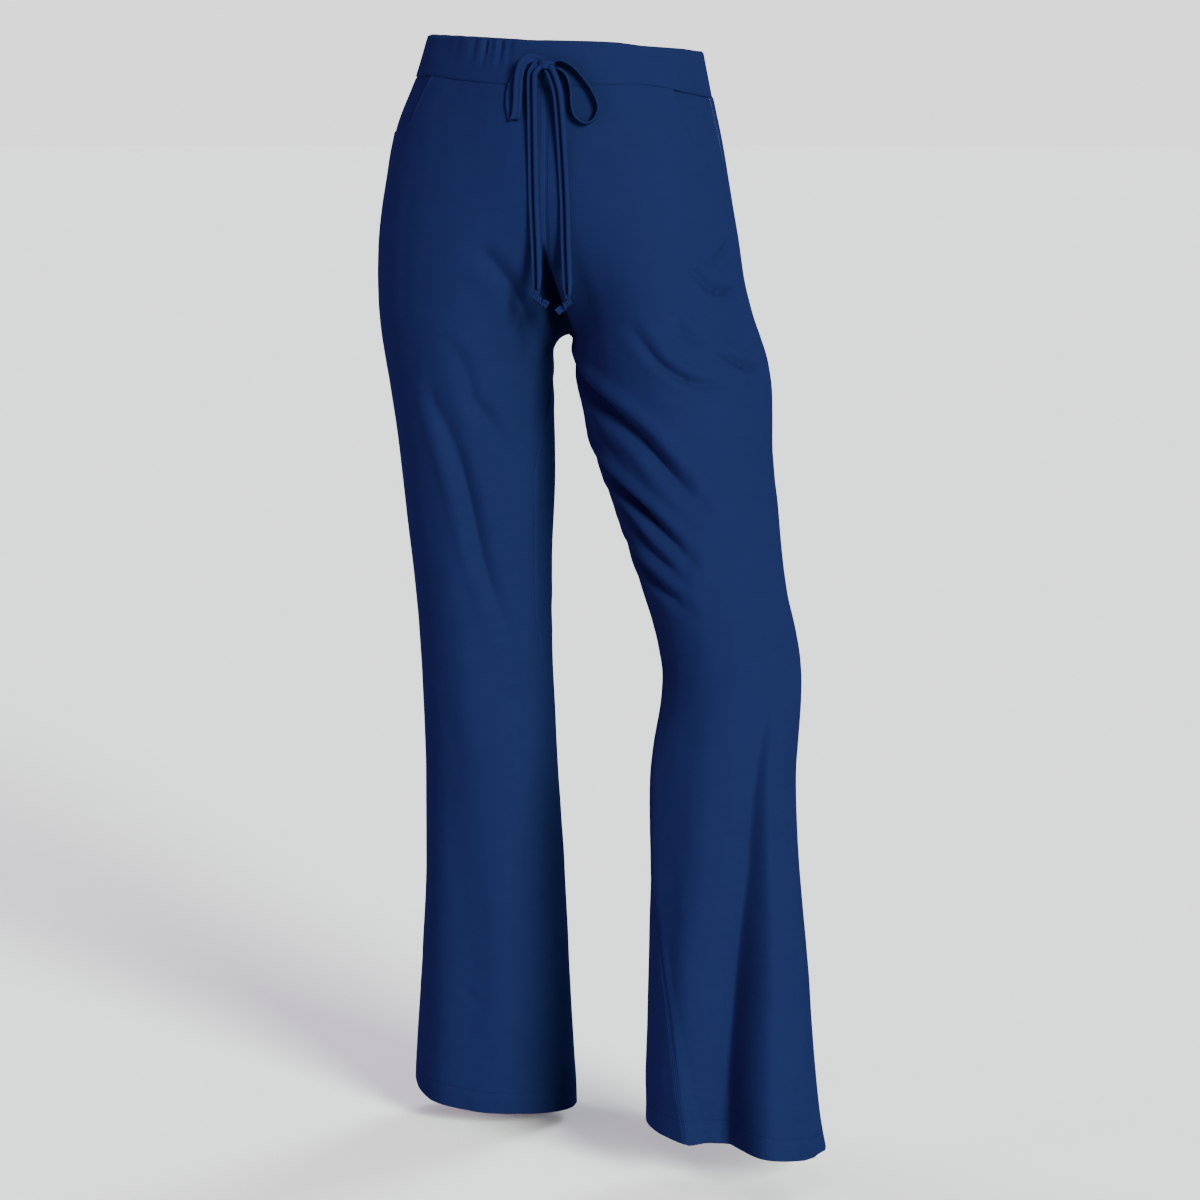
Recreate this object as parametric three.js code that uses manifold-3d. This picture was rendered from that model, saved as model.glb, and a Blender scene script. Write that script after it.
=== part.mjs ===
// Scrub trousers with a drawstring waist, in the form they have when worn, in millimetres.
// +Z is up, the front faces -Y and the wearer's left is +X. The origin is the middle of the waist.

import * as THREE from 'three';
import { mergeVertices } from 'three/addons/utils/BufferGeometryUtils.js';
import Module from 'manifold-3d';

const wasm = await Module();
wasm.setup();

// Driving dimensions.
const CLOTH = 1.5;
const HEM_CLOTH = 2.6;
const SEAM_GAP = 0.3;
const FULL_DROP = 0.3;
const WAIST_TILT = 0.066;
const TILT_FADE_TOP = -150;
const TILT_FADE_END = -310;
const BAND = { proud: 0.5, inside: 2.0, rows: 2, frontColumns: 56, backColumns: 72 };
const POCKET = { wide: 62, foot: 58, deep: 48, corner: 12, sideDrop: 60, clear: 0.35 };
const STRAP = { wide: 9, thick: 2.2 };
const KNOT = { x: 2.5, y: -110.9, z: -23, rx: 8.5, ry: 6.2, rz: 8.5 };

const RIGHT = -1;
const LEFT = 1;
const FRONT = -1;
const BACK = 1;
const FRONT_COLUMNS = { [RIGHT]: 14, [LEFT]: 16 };
const BACK_COLUMNS = 10;

// Centre seams from the waist to the crotch: height, front and back depth, and how far the cloth
// beside the seam has turned under, in degrees.
const CENTRE = [
  { iz: 0, front: -101, back: 101, turn: 0 },
  { iz: -40, front: -106, back: 110, turn: 0 },
  { iz: -90, front: -111, back: 122, turn: 0 },
  { iz: -150, front: -113, back: 131, turn: 3 },
  { iz: -200, front: -104, back: 130, turn: 10 },
  { iz: -240, front: -82, back: 113, turn: 25 },
  { iz: -267, front: -48, back: 85, turn: 45 },
  { iz: -281, front: -12, back: 50, turn: 70 },
  { iz: -285, front: 20, back: 20, turn: 90 },
];
const CROTCH = CENTRE.length - 1;

// Inseams from just under the crotch to the hem.
const INSEAM = {
  [RIGHT]: [
    { ix: -17, iy: 18, iz: -287 },
    { ix: -19.5, iy: 14, iz: -301 },
    { ix: -17, iy: 9, iz: -352 },
    { ix: -15.5, iy: 6, iz: -430 },
    { ix: -19, iy: 6, iz: -512 },
    { ix: -19, iy: 7, iz: -597 },
    { ix: -15, iy: 9, iz: -699 },
    { ix: -9.5, iy: 11, iz: -800 },
    { ix: -4.5, iy: 13, iz: -902 },
    { ix: 1, iy: 15, iz: -1005 },
    { ix: 3.5, iy: 16, iz: -1049 },
    { ix: 4, iy: 16, iz: -1071 },
  ],
  [LEFT]: [
    { ix: 16.5, iy: 14, iz: -287 },
    { ix: 18.5, iy: 3, iz: -301 },
    { ix: 21, iy: -19, iz: -352 },
    { ix: 53, iy: -52, iz: -430 },
    { ix: 89.5, iy: -84, iz: -512 },
    { ix: 116.5, iy: -114, iz: -597 },
    { ix: 109, iy: -138, iz: -697 },
    { ix: 113, iy: -154, iz: -796 },
    { ix: 113, iy: -167, iz: -890 },
    { ix: 112.5, iy: -178, iz: -975 },
    { ix: 113.5, iy: -181, iz: -1007 },
    { ix: 113.5, iy: -182, iz: -1029 },
  ],
};

// Sections of each half from the waist to the hem. sx, sy, sz: the side seam. fx, fy and bx, by: the
// fullest point of the front and of the back, with fs and bs the slope of the section there.
const HALF = {
  [RIGHT]: [
    { sx: -137, sy: 0, sz: 0, fx: -70, fy: -87, fs: 0.43, bx: -70, by: 88, bs: 0.43 },
    { sx: -149, sy: 0, sz: -40, fx: -73, fy: -92, fs: 0.42, bx: -73, by: 95, bs: 0.43 },
    { sx: -169, sy: 0, sz: -90, fx: -80, fy: -99, fs: 0.30, bx: -80, by: 108, bs: 0.34 },
    { sx: -180, sy: 1, sz: -145, fx: -86, fy: -103, fs: 0.22, bx: -86, by: 120, bs: 0.24 },
    { sx: -187, sy: 1, sz: -190, fx: -90, fy: -106, fs: 0.12, bx: -88, by: 124, bs: 0.15 },
    { sx: -189, sy: 2, sz: -225, fx: -92, fy: -105, fs: 0.05, bx: -90, by: 122, bs: 0.08 },
    { sx: -190, sy: 2, sz: -255, fx: -93, fy: -102, fs: 0, bx: -92, by: 117, bs: 0.03 },
    { sx: -188, sy: 3, sz: -280, fx: -94, fy: -98, fs: 0, bx: -93, by: 111, bs: 0 },
    { sx: -182, sy: 3, sz: -305, fx: -95, fy: -94, fs: 0, bx: -94, by: 105, bs: 0 },
    { sx: -180, sy: 4, sz: -322, fx: -95, fy: -91, fs: 0, bx: -95, by: 101, bs: 0 },
    { sx: -176, sy: 4, sz: -348, fx: -95, fy: -88, fs: 0, bx: -95, by: 96, bs: 0 },
    { sx: -171, sy: 5, sz: -385, fx: -93, fy: -82, fs: 0, bx: -93, by: 90, bs: 0 },
    { sx: -165, sy: 6, sz: -445, fx: -90, fy: -75, fs: 0, bx: -90, by: 85, bs: 0 },
    { sx: -157, sy: 7, sz: -520, fx: -87, fy: -69, fs: 0, bx: -87, by: 80, bs: 0 },
    { sx: -150, sy: 8, sz: -600, fx: -83, fy: -63, fs: 0, bx: -83, by: 77, bs: 0 },
    { sx: -146, sy: 9, sz: -700, fx: -80, fy: -57, fs: 0, bx: -80, by: 76, bs: 0 },
    { sx: -147, sy: 11, sz: -800, fx: -78, fy: -55, fs: 0, bx: -78, by: 79, bs: 0 },
    { sx: -151, sy: 13, sz: -900, fx: -76, fy: -55, fs: 0, bx: -76, by: 83, bs: 0 },
    { sx: -157, sy: 15, sz: -992, fx: -76, fy: -56, fs: 0, bx: -76, by: 87, bs: 0 },
    { sx: -159, sy: 16, sz: -1031, fx: -76, fy: -60, fs: 0, bx: -76, by: 88, bs: 0 },
    { sx: -160, sy: 16, sz: -1053, fx: -76, fy: -61, fs: 0, bx: -76, by: 89, bs: 0 },
  ],
  [LEFT]: [
    { sx: 134, sy: 0, sz: 0, fx: 70, fy: -87, fs: 0.43, bx: 70, by: 88, bs: 0.43 },
    { sx: 142, sy: 0, sz: -40, fx: 72, fy: -92, fs: 0.42, bx: 72, by: 95, bs: 0.43 },
    { sx: 152, sy: 0, sz: -90, fx: 80, fy: -101, fs: 0.28, bx: 78, by: 107, bs: 0.34 },
    { sx: 162, sy: -2, sz: -145, fx: 88, fy: -110, fs: 0.20, bx: 84, by: 117, bs: 0.26 },
    { sx: 170, sy: -5, sz: -190, fx: 93, fy: -117, fs: 0.12, bx: 88, by: 118, bs: 0.18 },
    { sx: 175, sy: -8, sz: -225, fx: 97, fy: -121, fs: 0.06, bx: 92, by: 112, bs: 0.10 },
    { sx: 182, sy: -12, sz: -255, fx: 101, fy: -124, fs: 0, bx: 96, by: 103, bs: 0.05 },
    { sx: 192, sy: -16, sz: -280, fx: 105, fy: -126, fs: 0, bx: 101, by: 93, bs: 0 },
    { sx: 202.5, sy: -21, sz: -305, fx: 109, fy: -128, fs: 0, bx: 106, by: 82, bs: 0 },
    { sx: 206, sy: -25, sz: -322, fx: 112, fy: -129, fs: 0, bx: 110, by: 75, bs: 0 },
    { sx: 210, sy: -33, sz: -348, fx: 116, fy: -130, fs: 0, bx: 114, by: 65, bs: 0 },
    { sx: 209.5, sy: -45, sz: -385, fx: 122, fy: -134, fs: 0, bx: 122, by: 49, bs: 0 },
    { sx: 220, sy: -68, sz: -445, fx: 138, fy: -147, fs: 0, bx: 138, by: 20, bs: 0 },
    { sx: 232, sy: -96, sz: -520, fx: 157, fy: -168, fs: 0, bx: 157, by: -14, bs: 0 },
    { sx: 251, sy: -121, sz: -600, fx: 183, fy: -190, fs: 0, bx: 183, by: -45, bs: 0 },
    { sx: 249.5, sy: -141, sz: -700, fx: 188, fy: -207, fs: 0, bx: 188, by: -66, bs: 0 },
    { sx: 257, sy: -155, sz: -800, fx: 190, fy: -221, fs: 0, bx: 190, by: -82, bs: 0 },
    { sx: 268, sy: -168, sz: -900, fx: 193, fy: -236, fs: 0, bx: 193, by: -95, bs: 0 },
    { sx: 278, sy: -178, sz: -1003, fx: 198, fy: -249, fs: 0, bx: 198, by: -104, bs: 0 },
    { sx: 283, sy: -181, sz: -1044, fx: 200, fy: -250, fs: 0, bx: 200, by: -107, bs: 0 },
    { sx: 286, sy: -182, sz: -1066, fx: 201, fy: -251, fs: 0, bx: 201, by: -109, bs: 0 },
  ],
};
const BAND_SEAM = 1;
const HEM_FOLD = HALF[RIGHT].length - 2;
const HEM = HALF[RIGHT].length - 1;

// Grid rows between one table row and the next.
const STEPS = [2, 3, 3, 3, 2, 2, 2, 2, 1, 1, 1, 2, 2, 3, 3, 3, 3, 3, 1, 1];

// Largest folds: from, over and to a place across the panel (0 inner seam, 1 side seam) and a height,
// with the half width and depth of the trough. A negative depth is a ridge.
const FOLDS = {
  [RIGHT]: {
    [FRONT]: [
      { s0: 0.42, z0: -200, s1: 0.30, z1: -290, s2: 0.12, z2: -345, width: 16, depth: 5 },
      { s0: 0.62, z0: -300, s1: 0.46, z1: -380, s2: 0.40, z2: -440, width: 15, depth: 4 },
      { s0: 0.68, z0: -360, s1: 0.55, z1: -480, s2: 0.30, z2: -590, width: 17, depth: 4.5 },
    ],
    [BACK]: [
      { s0: 0.15, z0: -330, s1: 0.45, z1: -350, s2: 0.80, z2: -320, width: 16, depth: 5 },
      { s0: 0.20, z0: -560, s1: 0.50, z1: -585, s2: 0.85, z2: -560, width: 16, depth: 4 },
    ],
  },
  [LEFT]: {
    [FRONT]: [
      { s0: 0.05, z0: -340, s1: 0.20, z1: -410, s2: 0.52, z2: -470, width: 14, depth: 7 },
      { s0: 0.06, z0: -430, s1: 0.22, z1: -480, s2: 0.44, z2: -520, width: 12, depth: 6 },
      { s0: 0.06, z0: -475, s1: 0.22, z1: -520, s2: 0.40, z2: -570, width: 12, depth: 6 },
      { s0: 0.38, z0: -285, s1: 0.62, z1: -335, s2: 0.92, z2: -340, width: 12, depth: 4 },
      { s0: 0.70, z0: -650, s1: 0.66, z1: -850, s2: 0.42, z2: -1050, width: 18, depth: 7 },
    ],
    [BACK]: [
      { s0: 0.15, z0: -330, s1: 0.45, z1: -360, s2: 0.80, z2: -330, width: 16, depth: 5 },
      { s0: 0.20, z0: -600, s1: 0.50, z1: -625, s2: 0.85, z2: -600, width: 16, depth: 5 },
    ],
  },
};

// Small gathers of the waistband: where round the band (0 to 1 from the right side seam), how many.
const GATHERS = {
  [FRONT]: { from: 0.28, to: 0.44, count: 5, depth: 1.2 },
  [BACK]: { from: 0.06, to: 0.94, count: 18, depth: 1.6 },
};

// Drawstring routes: centre line of the strap and the direction of its width, from the knot outwards.
const TAILS = {
  right: [
    { x: -2, y: -114.5, z: -18, wx: 0.3, wz: -0.95 },
    { x: -8, y: -117.5, z: -19.5, wx: 0.6, wz: -0.8 },
    { x: -13, y: -118.5, z: -25, wx: 0.9, wz: -0.4 },
    { x: -14.6, y: -118, z: -36, wx: 1, wz: -0.1 },
    { x: -14, y: -117, z: -60, wx: 1 },
    { x: -12.2, y: -116.5, z: -95, wx: 1 },
    { x: -10.2, y: -116.3, z: -147, wx: 1 },
    { x: -8.2, y: -116.3, z: -195, wx: 1 },
    { x: -6.8, y: -116.3, z: -235, wx: 1 },
  ],
  left: [
    { x: 4, y: -116.6, z: -21, wx: 0.9, wz: 0.4 },
    { x: 8, y: -118.8, z: -27, wx: 0.93, wz: 0.37 },
    { x: 11, y: -118.7, z: -35, wx: 0.96, wz: 0.25 },
    { x: 14.2, y: -118, z: -50, wx: 1, wz: 0.1 },
    { x: 17.2, y: -117, z: -91, wx: 1 },
    { x: 20.2, y: -117, z: -147, wx: 1 },
    { x: 21.4, y: -117, z: -195, wx: 1 },
    { x: 23.2, y: -117, z: -239, wx: 1 },
  ],
};
const LOOPS = {
  right: [
    { x: -2, y: -111.5, z: -17, wx: 0.2, wz: 1 },
    { x: -8, y: -112.5, z: -13.5, wz: 1 },
    { x: -14, y: -113.5, z: -12.5, wx: -0.1, wz: 1 },
    { x: -21.5, y: -114.5, z: -18, wx: -0.8, wz: 0.6 },
    { x: -25, y: -114.5, z: -32, wx: -1 },
    { x: -26, y: -114.5, z: -48, wx: -1 },
    { x: -27, y: -114.5, z: -61, wx: -1 },
    { x: -29, y: -113, z: -69.5, wx: -1 },
    { x: -32.5, y: -110, z: -68, wx: -1 },
    { x: -34.5, y: -109, z: -58, wx: -1 },
    { x: -34.5, y: -107.6, z: -46, wx: -1 },
    { x: -30, y: -107.5, z: -33, wx: -0.85, wz: 0.5 },
    { x: -20, y: -108.5, z: -25, wx: -0.5, wz: 0.85 },
    { x: -8, y: -109.2, z: -24, wx: -0.1, wz: 1 },
    { x: -2, y: -109.5, z: -24, wz: 1 },
  ],
  left: [
    { x: 5, y: -111.5, z: -18, wy: 1 },
    { x: 10, y: -112, z: -15.5, wy: 1 },
    { x: 17.5, y: -111.5, z: -14.5, wy: 1 },
    { x: 29.2, y: -109.5, z: -22, wy: 1 },
    { x: 42.2, y: -108.5, z: -37.5, wy: 1 },
    { x: 50, y: -109.5, z: -51, wy: 1 },
    { x: 52, y: -110.5, z: -61, wy: 1 },
    { x: 47.5, y: -112, z: -70.5, wy: 1 },
    { x: 39.5, y: -112.8, z: -73.5, wy: 1 },
    { x: 30.5, y: -113, z: -68, wy: 1 },
    { x: 26.5, y: -112.5, z: -57, wy: 1 },
    { x: 25.5, y: -111.8, z: -42, wy: 1 },
    { x: 21.5, y: -111, z: -29, wy: 1 },
    { x: 12.5, y: -110, z: -22, wy: 1 },
    { x: 6, y: -109.5, z: -24, wy: 1 },
  ],
};
const END_KNOTS = {
  right: { x: -5.5, y: -116.3, z: -240.8, tipX: 5, tipZ: -249 },
  left: { x: 24, y: -117, z: -244.8, tipX: 14, tipZ: -254 },
};

const NAVY = new THREE.Color(0.10, 0.19, 0.37);

// Smooth value of one column of a table at a fractional row.
function column(rows, name, at, first = 0) {
  const last = rows.length - 1;
  const i = Math.min(Math.floor(at - first), last - 1);
  const t = at - first - i;
  const value = (k) => rows[Math.min(Math.max(k, 0), last)][name];
  const [p1, p2] = [value(i), value(i + 1)];
  const p0 = i > 0 ? value(i - 1) : 2 * p1 - p2;
  const p3 = i + 2 <= last ? value(i + 2) : 2 * p2 - p1;
  const [a, b, c] = [2 * p1, p2 - p0, 2 * p0 - 5 * p1 + 4 * p2 - p3];
  return 0.5 * (a + b * t + c * t * t + (3 * p1 - p0 - 3 * p2 + p3) * t * t * t);
}

// Inner end of a section: on a centre seam above the crotch and on the inseam below it.
function innerEnd(side, face, at) {
  if (at <= CROTCH) {
    const y = column(CENTRE, face === FRONT ? 'front' : 'back', at);
    return { point: new THREE.Vector3(0, y, column(CENTRE, 'iz', at)), turn: column(CENTRE, 'turn', at) };
  }
  const start = { ix: 0, iy: CENTRE[CROTCH].front, iz: CENTRE[CROTCH].iz };
  const rows = [start, ...INSEAM[side]];
  const [x, y, z] = ['ix', 'iy', 'iz'].map((name) => column(rows, name, at, CROTCH));
  return { point: new THREE.Vector3(x, y, z), turn: 90 };
}

// One quarter of a section as a curve that leaves and arrives along the given directions.
function quarter(from, to, leave, arrive) {
  const chord = new THREE.Vector3(to.x - from.x, to.y - from.y, 0);
  const reach = 0.38 + 0.17 * (1 - Math.abs(leave.dot(arrive)));
  const a = from.clone().addScaledVector(leave, reach * Math.abs(chord.dot(leave)));
  const b = to.clone().addScaledVector(arrive, -reach * Math.abs(chord.dot(arrive)));
  a.z = from.z + (to.z - from.z) / 3;
  b.z = to.z - (to.z - from.z) / 3;
  return new THREE.CubicBezierCurve3(from, a, b, to);
}

// Section of a panel from its inner seam over its fullest point to the side seam. FULL_DROP is how much
// of the drop between the two seams lies before the fullest point.
function section(side, face, at) {
  const rows = HALF[side];
  const inner = innerEnd(side, face, at);
  const [px, py, ps] = face === FRONT ? ['fx', 'fy', 'fs'] : ['bx', 'by', 'bs'];
  const seam = new THREE.Vector3(column(rows, 'sx', at), column(rows, 'sy', at), column(rows, 'sz', at));
  const midZ = THREE.MathUtils.lerp(inner.point.z, seam.z, FULL_DROP);
  const full = new THREE.Vector3(column(rows, px, at), column(rows, py, at), midZ);
  const turn = THREE.MathUtils.degToRad(inner.turn);
  const leave = new THREE.Vector3(side * Math.cos(turn), face * Math.sin(turn), 0);
  const over = new THREE.Vector3(side, -face * column(rows, ps, at), 0).normalize();
  const arrive = new THREE.Vector3(0, -face, 0);
  const path = new THREE.CurvePath();
  path.add(quarter(inner.point, full, leave, over));
  path.add(quarter(full, seam, over, arrive));
  return path;
}

// The wearer's left side of the waist is a little lower than the right.
function tilted(point) {
  const fade = THREE.MathUtils.smoothstep(point.z, TILT_FADE_END, TILT_FADE_TOP);
  return point.setZ(point.z - WAIST_TILT * point.x * fade);
}

function foldDepth(folds, s, z, length) {
  let depth = 0;
  for (const fold of folds) {
    let nearest = Infinity;
    let along = 0;
    for (let k = 0; k <= 16; k += 1) {
      const t = k / 16;
      const [a, b, c] = [(1 - t) * (1 - t), 2 * t * (1 - t), t * t];
      const ds = (s - (a * fold.s0 + b * fold.s1 + c * fold.s2)) * length;
      const dz = z - (a * fold.z0 + b * fold.z1 + c * fold.z2);
      const away = Math.hypot(ds, dz);
      if (away < nearest) {
        nearest = away;
        along = t;
      }
    }
    const taper = Math.sin(Math.PI * along) ** 0.7;
    depth += fold.depth * taper * Math.exp(-((nearest / fold.width) ** 2));
  }
  const hold = THREE.MathUtils.smoothstep(Math.min(s, 1 - s) * length, 0, 14);
  return depth * hold;
}

// Rows of a panel: fractional table rows, closer together where the form turns faster.
function panelRows(first, last) {
  const rows = [];
  for (let i = first; i < last; i += 1) {
    for (let k = 0; k < STEPS[i]; k += 1) {
      rows.push(i + k / STEPS[i]);
    }
  }
  rows.push(last);
  return rows;
}

function smoothGrid(side, face, columns) {
  return panelRows(BAND_SEAM, HEM).map((at) => {
    const path = section(side, face, at);
    const points = path.getSpacedPoints(columns).map(tilted);
    return { at, length: path.getLength(), points };
  });
}

// Outward directions of a grid of points. The sign is +1 where columns and rows turn outwards.
function gridNormals(grid, sign) {
  const rows = grid.length - 1;
  return grid.map((row, i) => row.map((point, j) => {
    const last = row.length - 1;
    const across = new THREE.Vector3().subVectors(row[Math.min(j + 1, last)], row[Math.max(j - 1, 0)]);
    const below = grid[Math.min(i + 1, rows)][j];
    const down = new THREE.Vector3().subVectors(below, grid[Math.max(i - 1, 0)][j]);
    return new THREE.Vector3().crossVectors(across, down).normalize().multiplyScalar(sign);
  }));
}

function makePanel(side, face) {
  const columns = face === FRONT ? FRONT_COLUMNS[side] : BACK_COLUMNS;
  const rows = smoothGrid(side, face, columns);
  const sign = side * face;
  const grid = rows.map((row) => row.points);
  const normals = gridNormals(grid, sign);
  const folds = FOLDS[side][face];
  rows.forEach((row, i) => row.points.forEach((point, j) => {
    const depth = foldDepth(folds, j / columns, point.z, row.length);
    point.addScaledVector(normals[i][j], -depth);
  }));
  return { side, face, columns, sign, grid, at: rows.map((row) => row.at), normals: gridNormals(grid, sign) };
}

const panels = {};
for (const side of [RIGHT, LEFT]) {
  for (const face of [FRONT, BACK]) {
    panels[`${side},${face}`] = makePanel(side, face);
  }
}
const panel = (side, face) => panels[`${side},${face}`];

// Cloth that meets at a seam faces one way there.
function shareNormals(members) {
  const sum = new THREE.Vector3();
  members.forEach(([owner, i, j]) => sum.add(owner.normals[i][j]));
  sum.normalize();
  members.forEach(([owner, i, j]) => owner.normals[i][j].copy(sum));
}

// The two cut edges of a seam stand half the gap back from it.
function openSeams() {
  const rows = panel(RIGHT, FRONT).at.length;
  for (let i = 0; i < rows; i += 1) {
    const at = panel(RIGHT, FRONT).at[i];
    for (const side of [RIGHT, LEFT]) {
      const [front, back] = [panel(side, FRONT), panel(side, BACK)];
      shareNormals([[front, i, front.columns], [back, i, back.columns]]);
      if (at > CROTCH) {
        shareNormals([[front, i, 0], [back, i, 0]]);
      }
    }
    for (const face of [FRONT, BACK]) {
      if (at < CROTCH) {
        shareNormals([[panel(RIGHT, face), i, 0], [panel(LEFT, face), i, 0]]);
      }
    }
    if (at === CROTCH) {
      shareNormals(Object.values(panels).map((owner) => [owner, i, 0]));
    }
    Object.values(panels).forEach((owner) => {
      const row = owner.grid[i];
      const end = owner.columns;
      const inward = new THREE.Vector3().subVectors(row[end - 1], row[end]).normalize();
      row[end].addScaledVector(inward, SEAM_GAP / 2);
      if (at <= CROTCH) {
        row[0].x += owner.side * SEAM_GAP / 2;
      }
      if (at >= CROTCH) {
        row[0].y += owner.face * SEAM_GAP / 2;
      }
      if (i === 0) {
        row.forEach((point) => point.setZ(point.z - SEAM_GAP / 2));
      }
    });
  }
}
openSeams();

// A closed wall between the two grids that lie out and in of a grid of points.
function wall(grid, normals, outBy, inBy) {
  const rows = grid.length;
  const columns = grid[0].length;
  const offset = (by) => grid.map((row, i) => row.map((point, j) =>
    point.clone().addScaledVector(normals[i][j], typeof by === 'function' ? by(i, j) : by)));
  const sheets = [offset(outBy), offset(inBy)];
  const positions = sheets.flat(2).flatMap((point) => [point.x, point.y, point.z]);
  const at = (sheet, i, j) => sheet * rows * columns + i * columns + j;
  const index = [];
  const quad = (a, b, c, d) => index.push(a, b, c, a, c, d);
  for (let i = 0; i + 1 < rows; i += 1) {
    for (let j = 0; j + 1 < columns; j += 1) {
      quad(at(0, i, j), at(0, i + 1, j), at(0, i + 1, j + 1), at(0, i, j + 1));
      quad(at(1, i, j), at(1, i, j + 1), at(1, i + 1, j + 1), at(1, i + 1, j));
    }
  }
  for (let j = 0; j + 1 < columns; j += 1) {
    quad(at(0, 0, j), at(0, 0, j + 1), at(1, 0, j + 1), at(1, 0, j));
    quad(at(0, rows - 1, j + 1), at(0, rows - 1, j), at(1, rows - 1, j), at(1, rows - 1, j + 1));
  }
  for (let i = 0; i + 1 < rows; i += 1) {
    quad(at(0, i + 1, 0), at(0, i, 0), at(1, i, 0), at(1, i + 1, 0));
    quad(at(0, i, columns - 1), at(0, i + 1, columns - 1), at(1, i + 1, columns - 1), at(1, i, columns - 1));
  }
  const geometry = new THREE.BufferGeometry();
  geometry.setAttribute('position', new THREE.Float32BufferAttribute(positions, 3));
  geometry.setIndex(index);
  return facingOut(geometry);
}

// Turns the faces round where the volume that they enclose is negative.
function facingOut(geometry) {
  const { array } = geometry.getAttribute('position');
  const index = Array.from(geometry.getIndex().array);
  const corner = (k) => new THREE.Vector3().fromArray(array, 3 * index[k]);
  let volume = 0;
  for (let k = 0; k < index.length; k += 3) {
    volume += corner(k).dot(corner(k + 1).cross(corner(k + 2)));
  }
  if (volume < 0) {
    for (let k = 0; k < index.length; k += 3) {
      [index[k + 1], index[k + 2]] = [index[k + 2], index[k + 1]];
    }
    geometry.setIndex(index);
  }
  return geometry;
}

function toSolid(geometry) {
  const bare = geometry.clone();
  bare.deleteAttribute('normal');
  bare.deleteAttribute('uv');
  const merged = mergeVertices(bare, 1e-4);
  const vertProperties = new Float32Array(merged.getAttribute('position').array);
  const triVerts = new Uint32Array(merged.getIndex().array);
  return new wasm.Manifold(new wasm.Mesh({ numProp: 3, vertProperties, triVerts }));
}

function toGeometry(solid) {
  const mesh = solid.getMesh();
  const geometry = new THREE.BufferGeometry();
  const { numProp, vertProperties } = mesh;
  const positions = [];
  for (let k = 0; k < vertProperties.length; k += numProp) {
    positions.push(vertProperties[k], vertProperties[k + 1], vertProperties[k + 2]);
  }
  geometry.setAttribute('position', new THREE.Float32BufferAttribute(positions, 3));
  geometry.setIndex(Array.from(mesh.triVerts));
  return geometry;
}

// Fractional table row whose side seam is at the given height.
function rowAtHeight(side, z) {
  let [low, high] = [0, HEM];
  for (let k = 0; k < 30; k += 1) {
    const middle = (low + high) / 2;
    if (column(HALF[side], 'sz', middle) > z) {
      low = middle;
    } else {
      high = middle;
    }
  }
  return (low + high) / 2;
}

// The pocket mouth as an outline: distance forward of the side seam, and drop below the band.
function pocketOutline() {
  const beyond = 14;
  const { wide, foot, deep, corner, sideDrop } = POCKET;
  const shape = new THREE.Shape();
  shape.moveTo(wide, -beyond);
  shape.lineTo(wide, 0);
  shape.lineTo(foot, deep - corner);
  shape.quadraticCurveTo(foot - 1, deep, foot - corner, deep + 2);
  shape.lineTo(0, sideDrop);
  shape.lineTo(-beyond, sideDrop + 2);
  shape.lineTo(-beyond, -beyond);
  shape.closePath();
  return shape.getSpacedPoints(34).slice(0, -1);
}

// A block round the cloth that is cut away to leave the pocket mouth.
function pocketCutter(side) {
  const reach = 14;
  const outline = pocketOutline();
  const place = (forward, drop) => {
    const at = rowAtHeight(side, HALF[side][BAND_SEAM].sz - drop);
    const path = section(side, FRONT, at);
    const length = path.getLength();
    const point = path.getPoint(Math.min(1 - forward / length, 1));
    point.y -= Math.min(forward, 0);
    return tilted(point);
  };
  const step = 2;
  const points = outline.map((p) => place(p.x, p.y));
  const normals = outline.map((p, k) => {
    const across = new THREE.Vector3().subVectors(place(Math.max(p.x, 0) + step, p.y), place(Math.max(p.x, 0), p.y));
    const down = new THREE.Vector3().subVectors(place(Math.max(p.x, 0), p.y + step), place(Math.max(p.x, 0), p.y));
    const normal = new THREE.Vector3().crossVectors(across, down).normalize().multiplyScalar(side);
    return normal.dot(new THREE.Vector3(side, FRONT, 0)) < 0 ? normal.negate() : normal;
  });
  const positions = [];
  for (const by of [reach, -reach]) {
    points.forEach((point, k) => {
      const p = point.clone().addScaledVector(normals[k], by);
      positions.push(p.x, p.y, p.z);
    });
  }
  const count = points.length;
  const index = [];
  THREE.ShapeUtils.triangulateShape(outline, []).forEach(([a, b, c]) => {
    index.push(a, b, c, c + count, b + count, a + count);
  });
  for (let k = 0; k < count; k += 1) {
    const next = (k + 1) % count;
    index.push(k, k + count, next + count, k, next + count, next);
  }
  const geometry = new THREE.BufferGeometry();
  geometry.setAttribute('position', new THREE.Float32BufferAttribute(positions, 3));
  geometry.setIndex(index);
  return facingOut(geometry);
}

// A leg panel. Its hem is turned up, so the wall is thicker there.
function legPanel(side, face) {
  const owner = panel(side, face);
  const inBy = (i) => (owner.at[i] >= HEM_FOLD ? -HEM_CLOTH : -CLOTH);
  return wall(owner.grid, owner.normals, 0, inBy);
}

function frontPanel(side) {
  return toGeometry(toSolid(legPanel(side, FRONT)).subtract(toSolid(pocketCutter(side))));
}

// The pocket facing lies behind the front panel, from the band and the side seam past the mouth.
function pocketFacing(side) {
  const owner = panel(side, FRONT);
  const columns = 6;
  const rows = 7;
  const cut = (grid) => grid.slice(0, rows).map((row) => row.slice(-columns));
  const outer = CLOTH + POCKET.clear;
  return wall(cut(owner.grid), cut(owner.normals), -outer, -outer - CLOTH);
}

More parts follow.
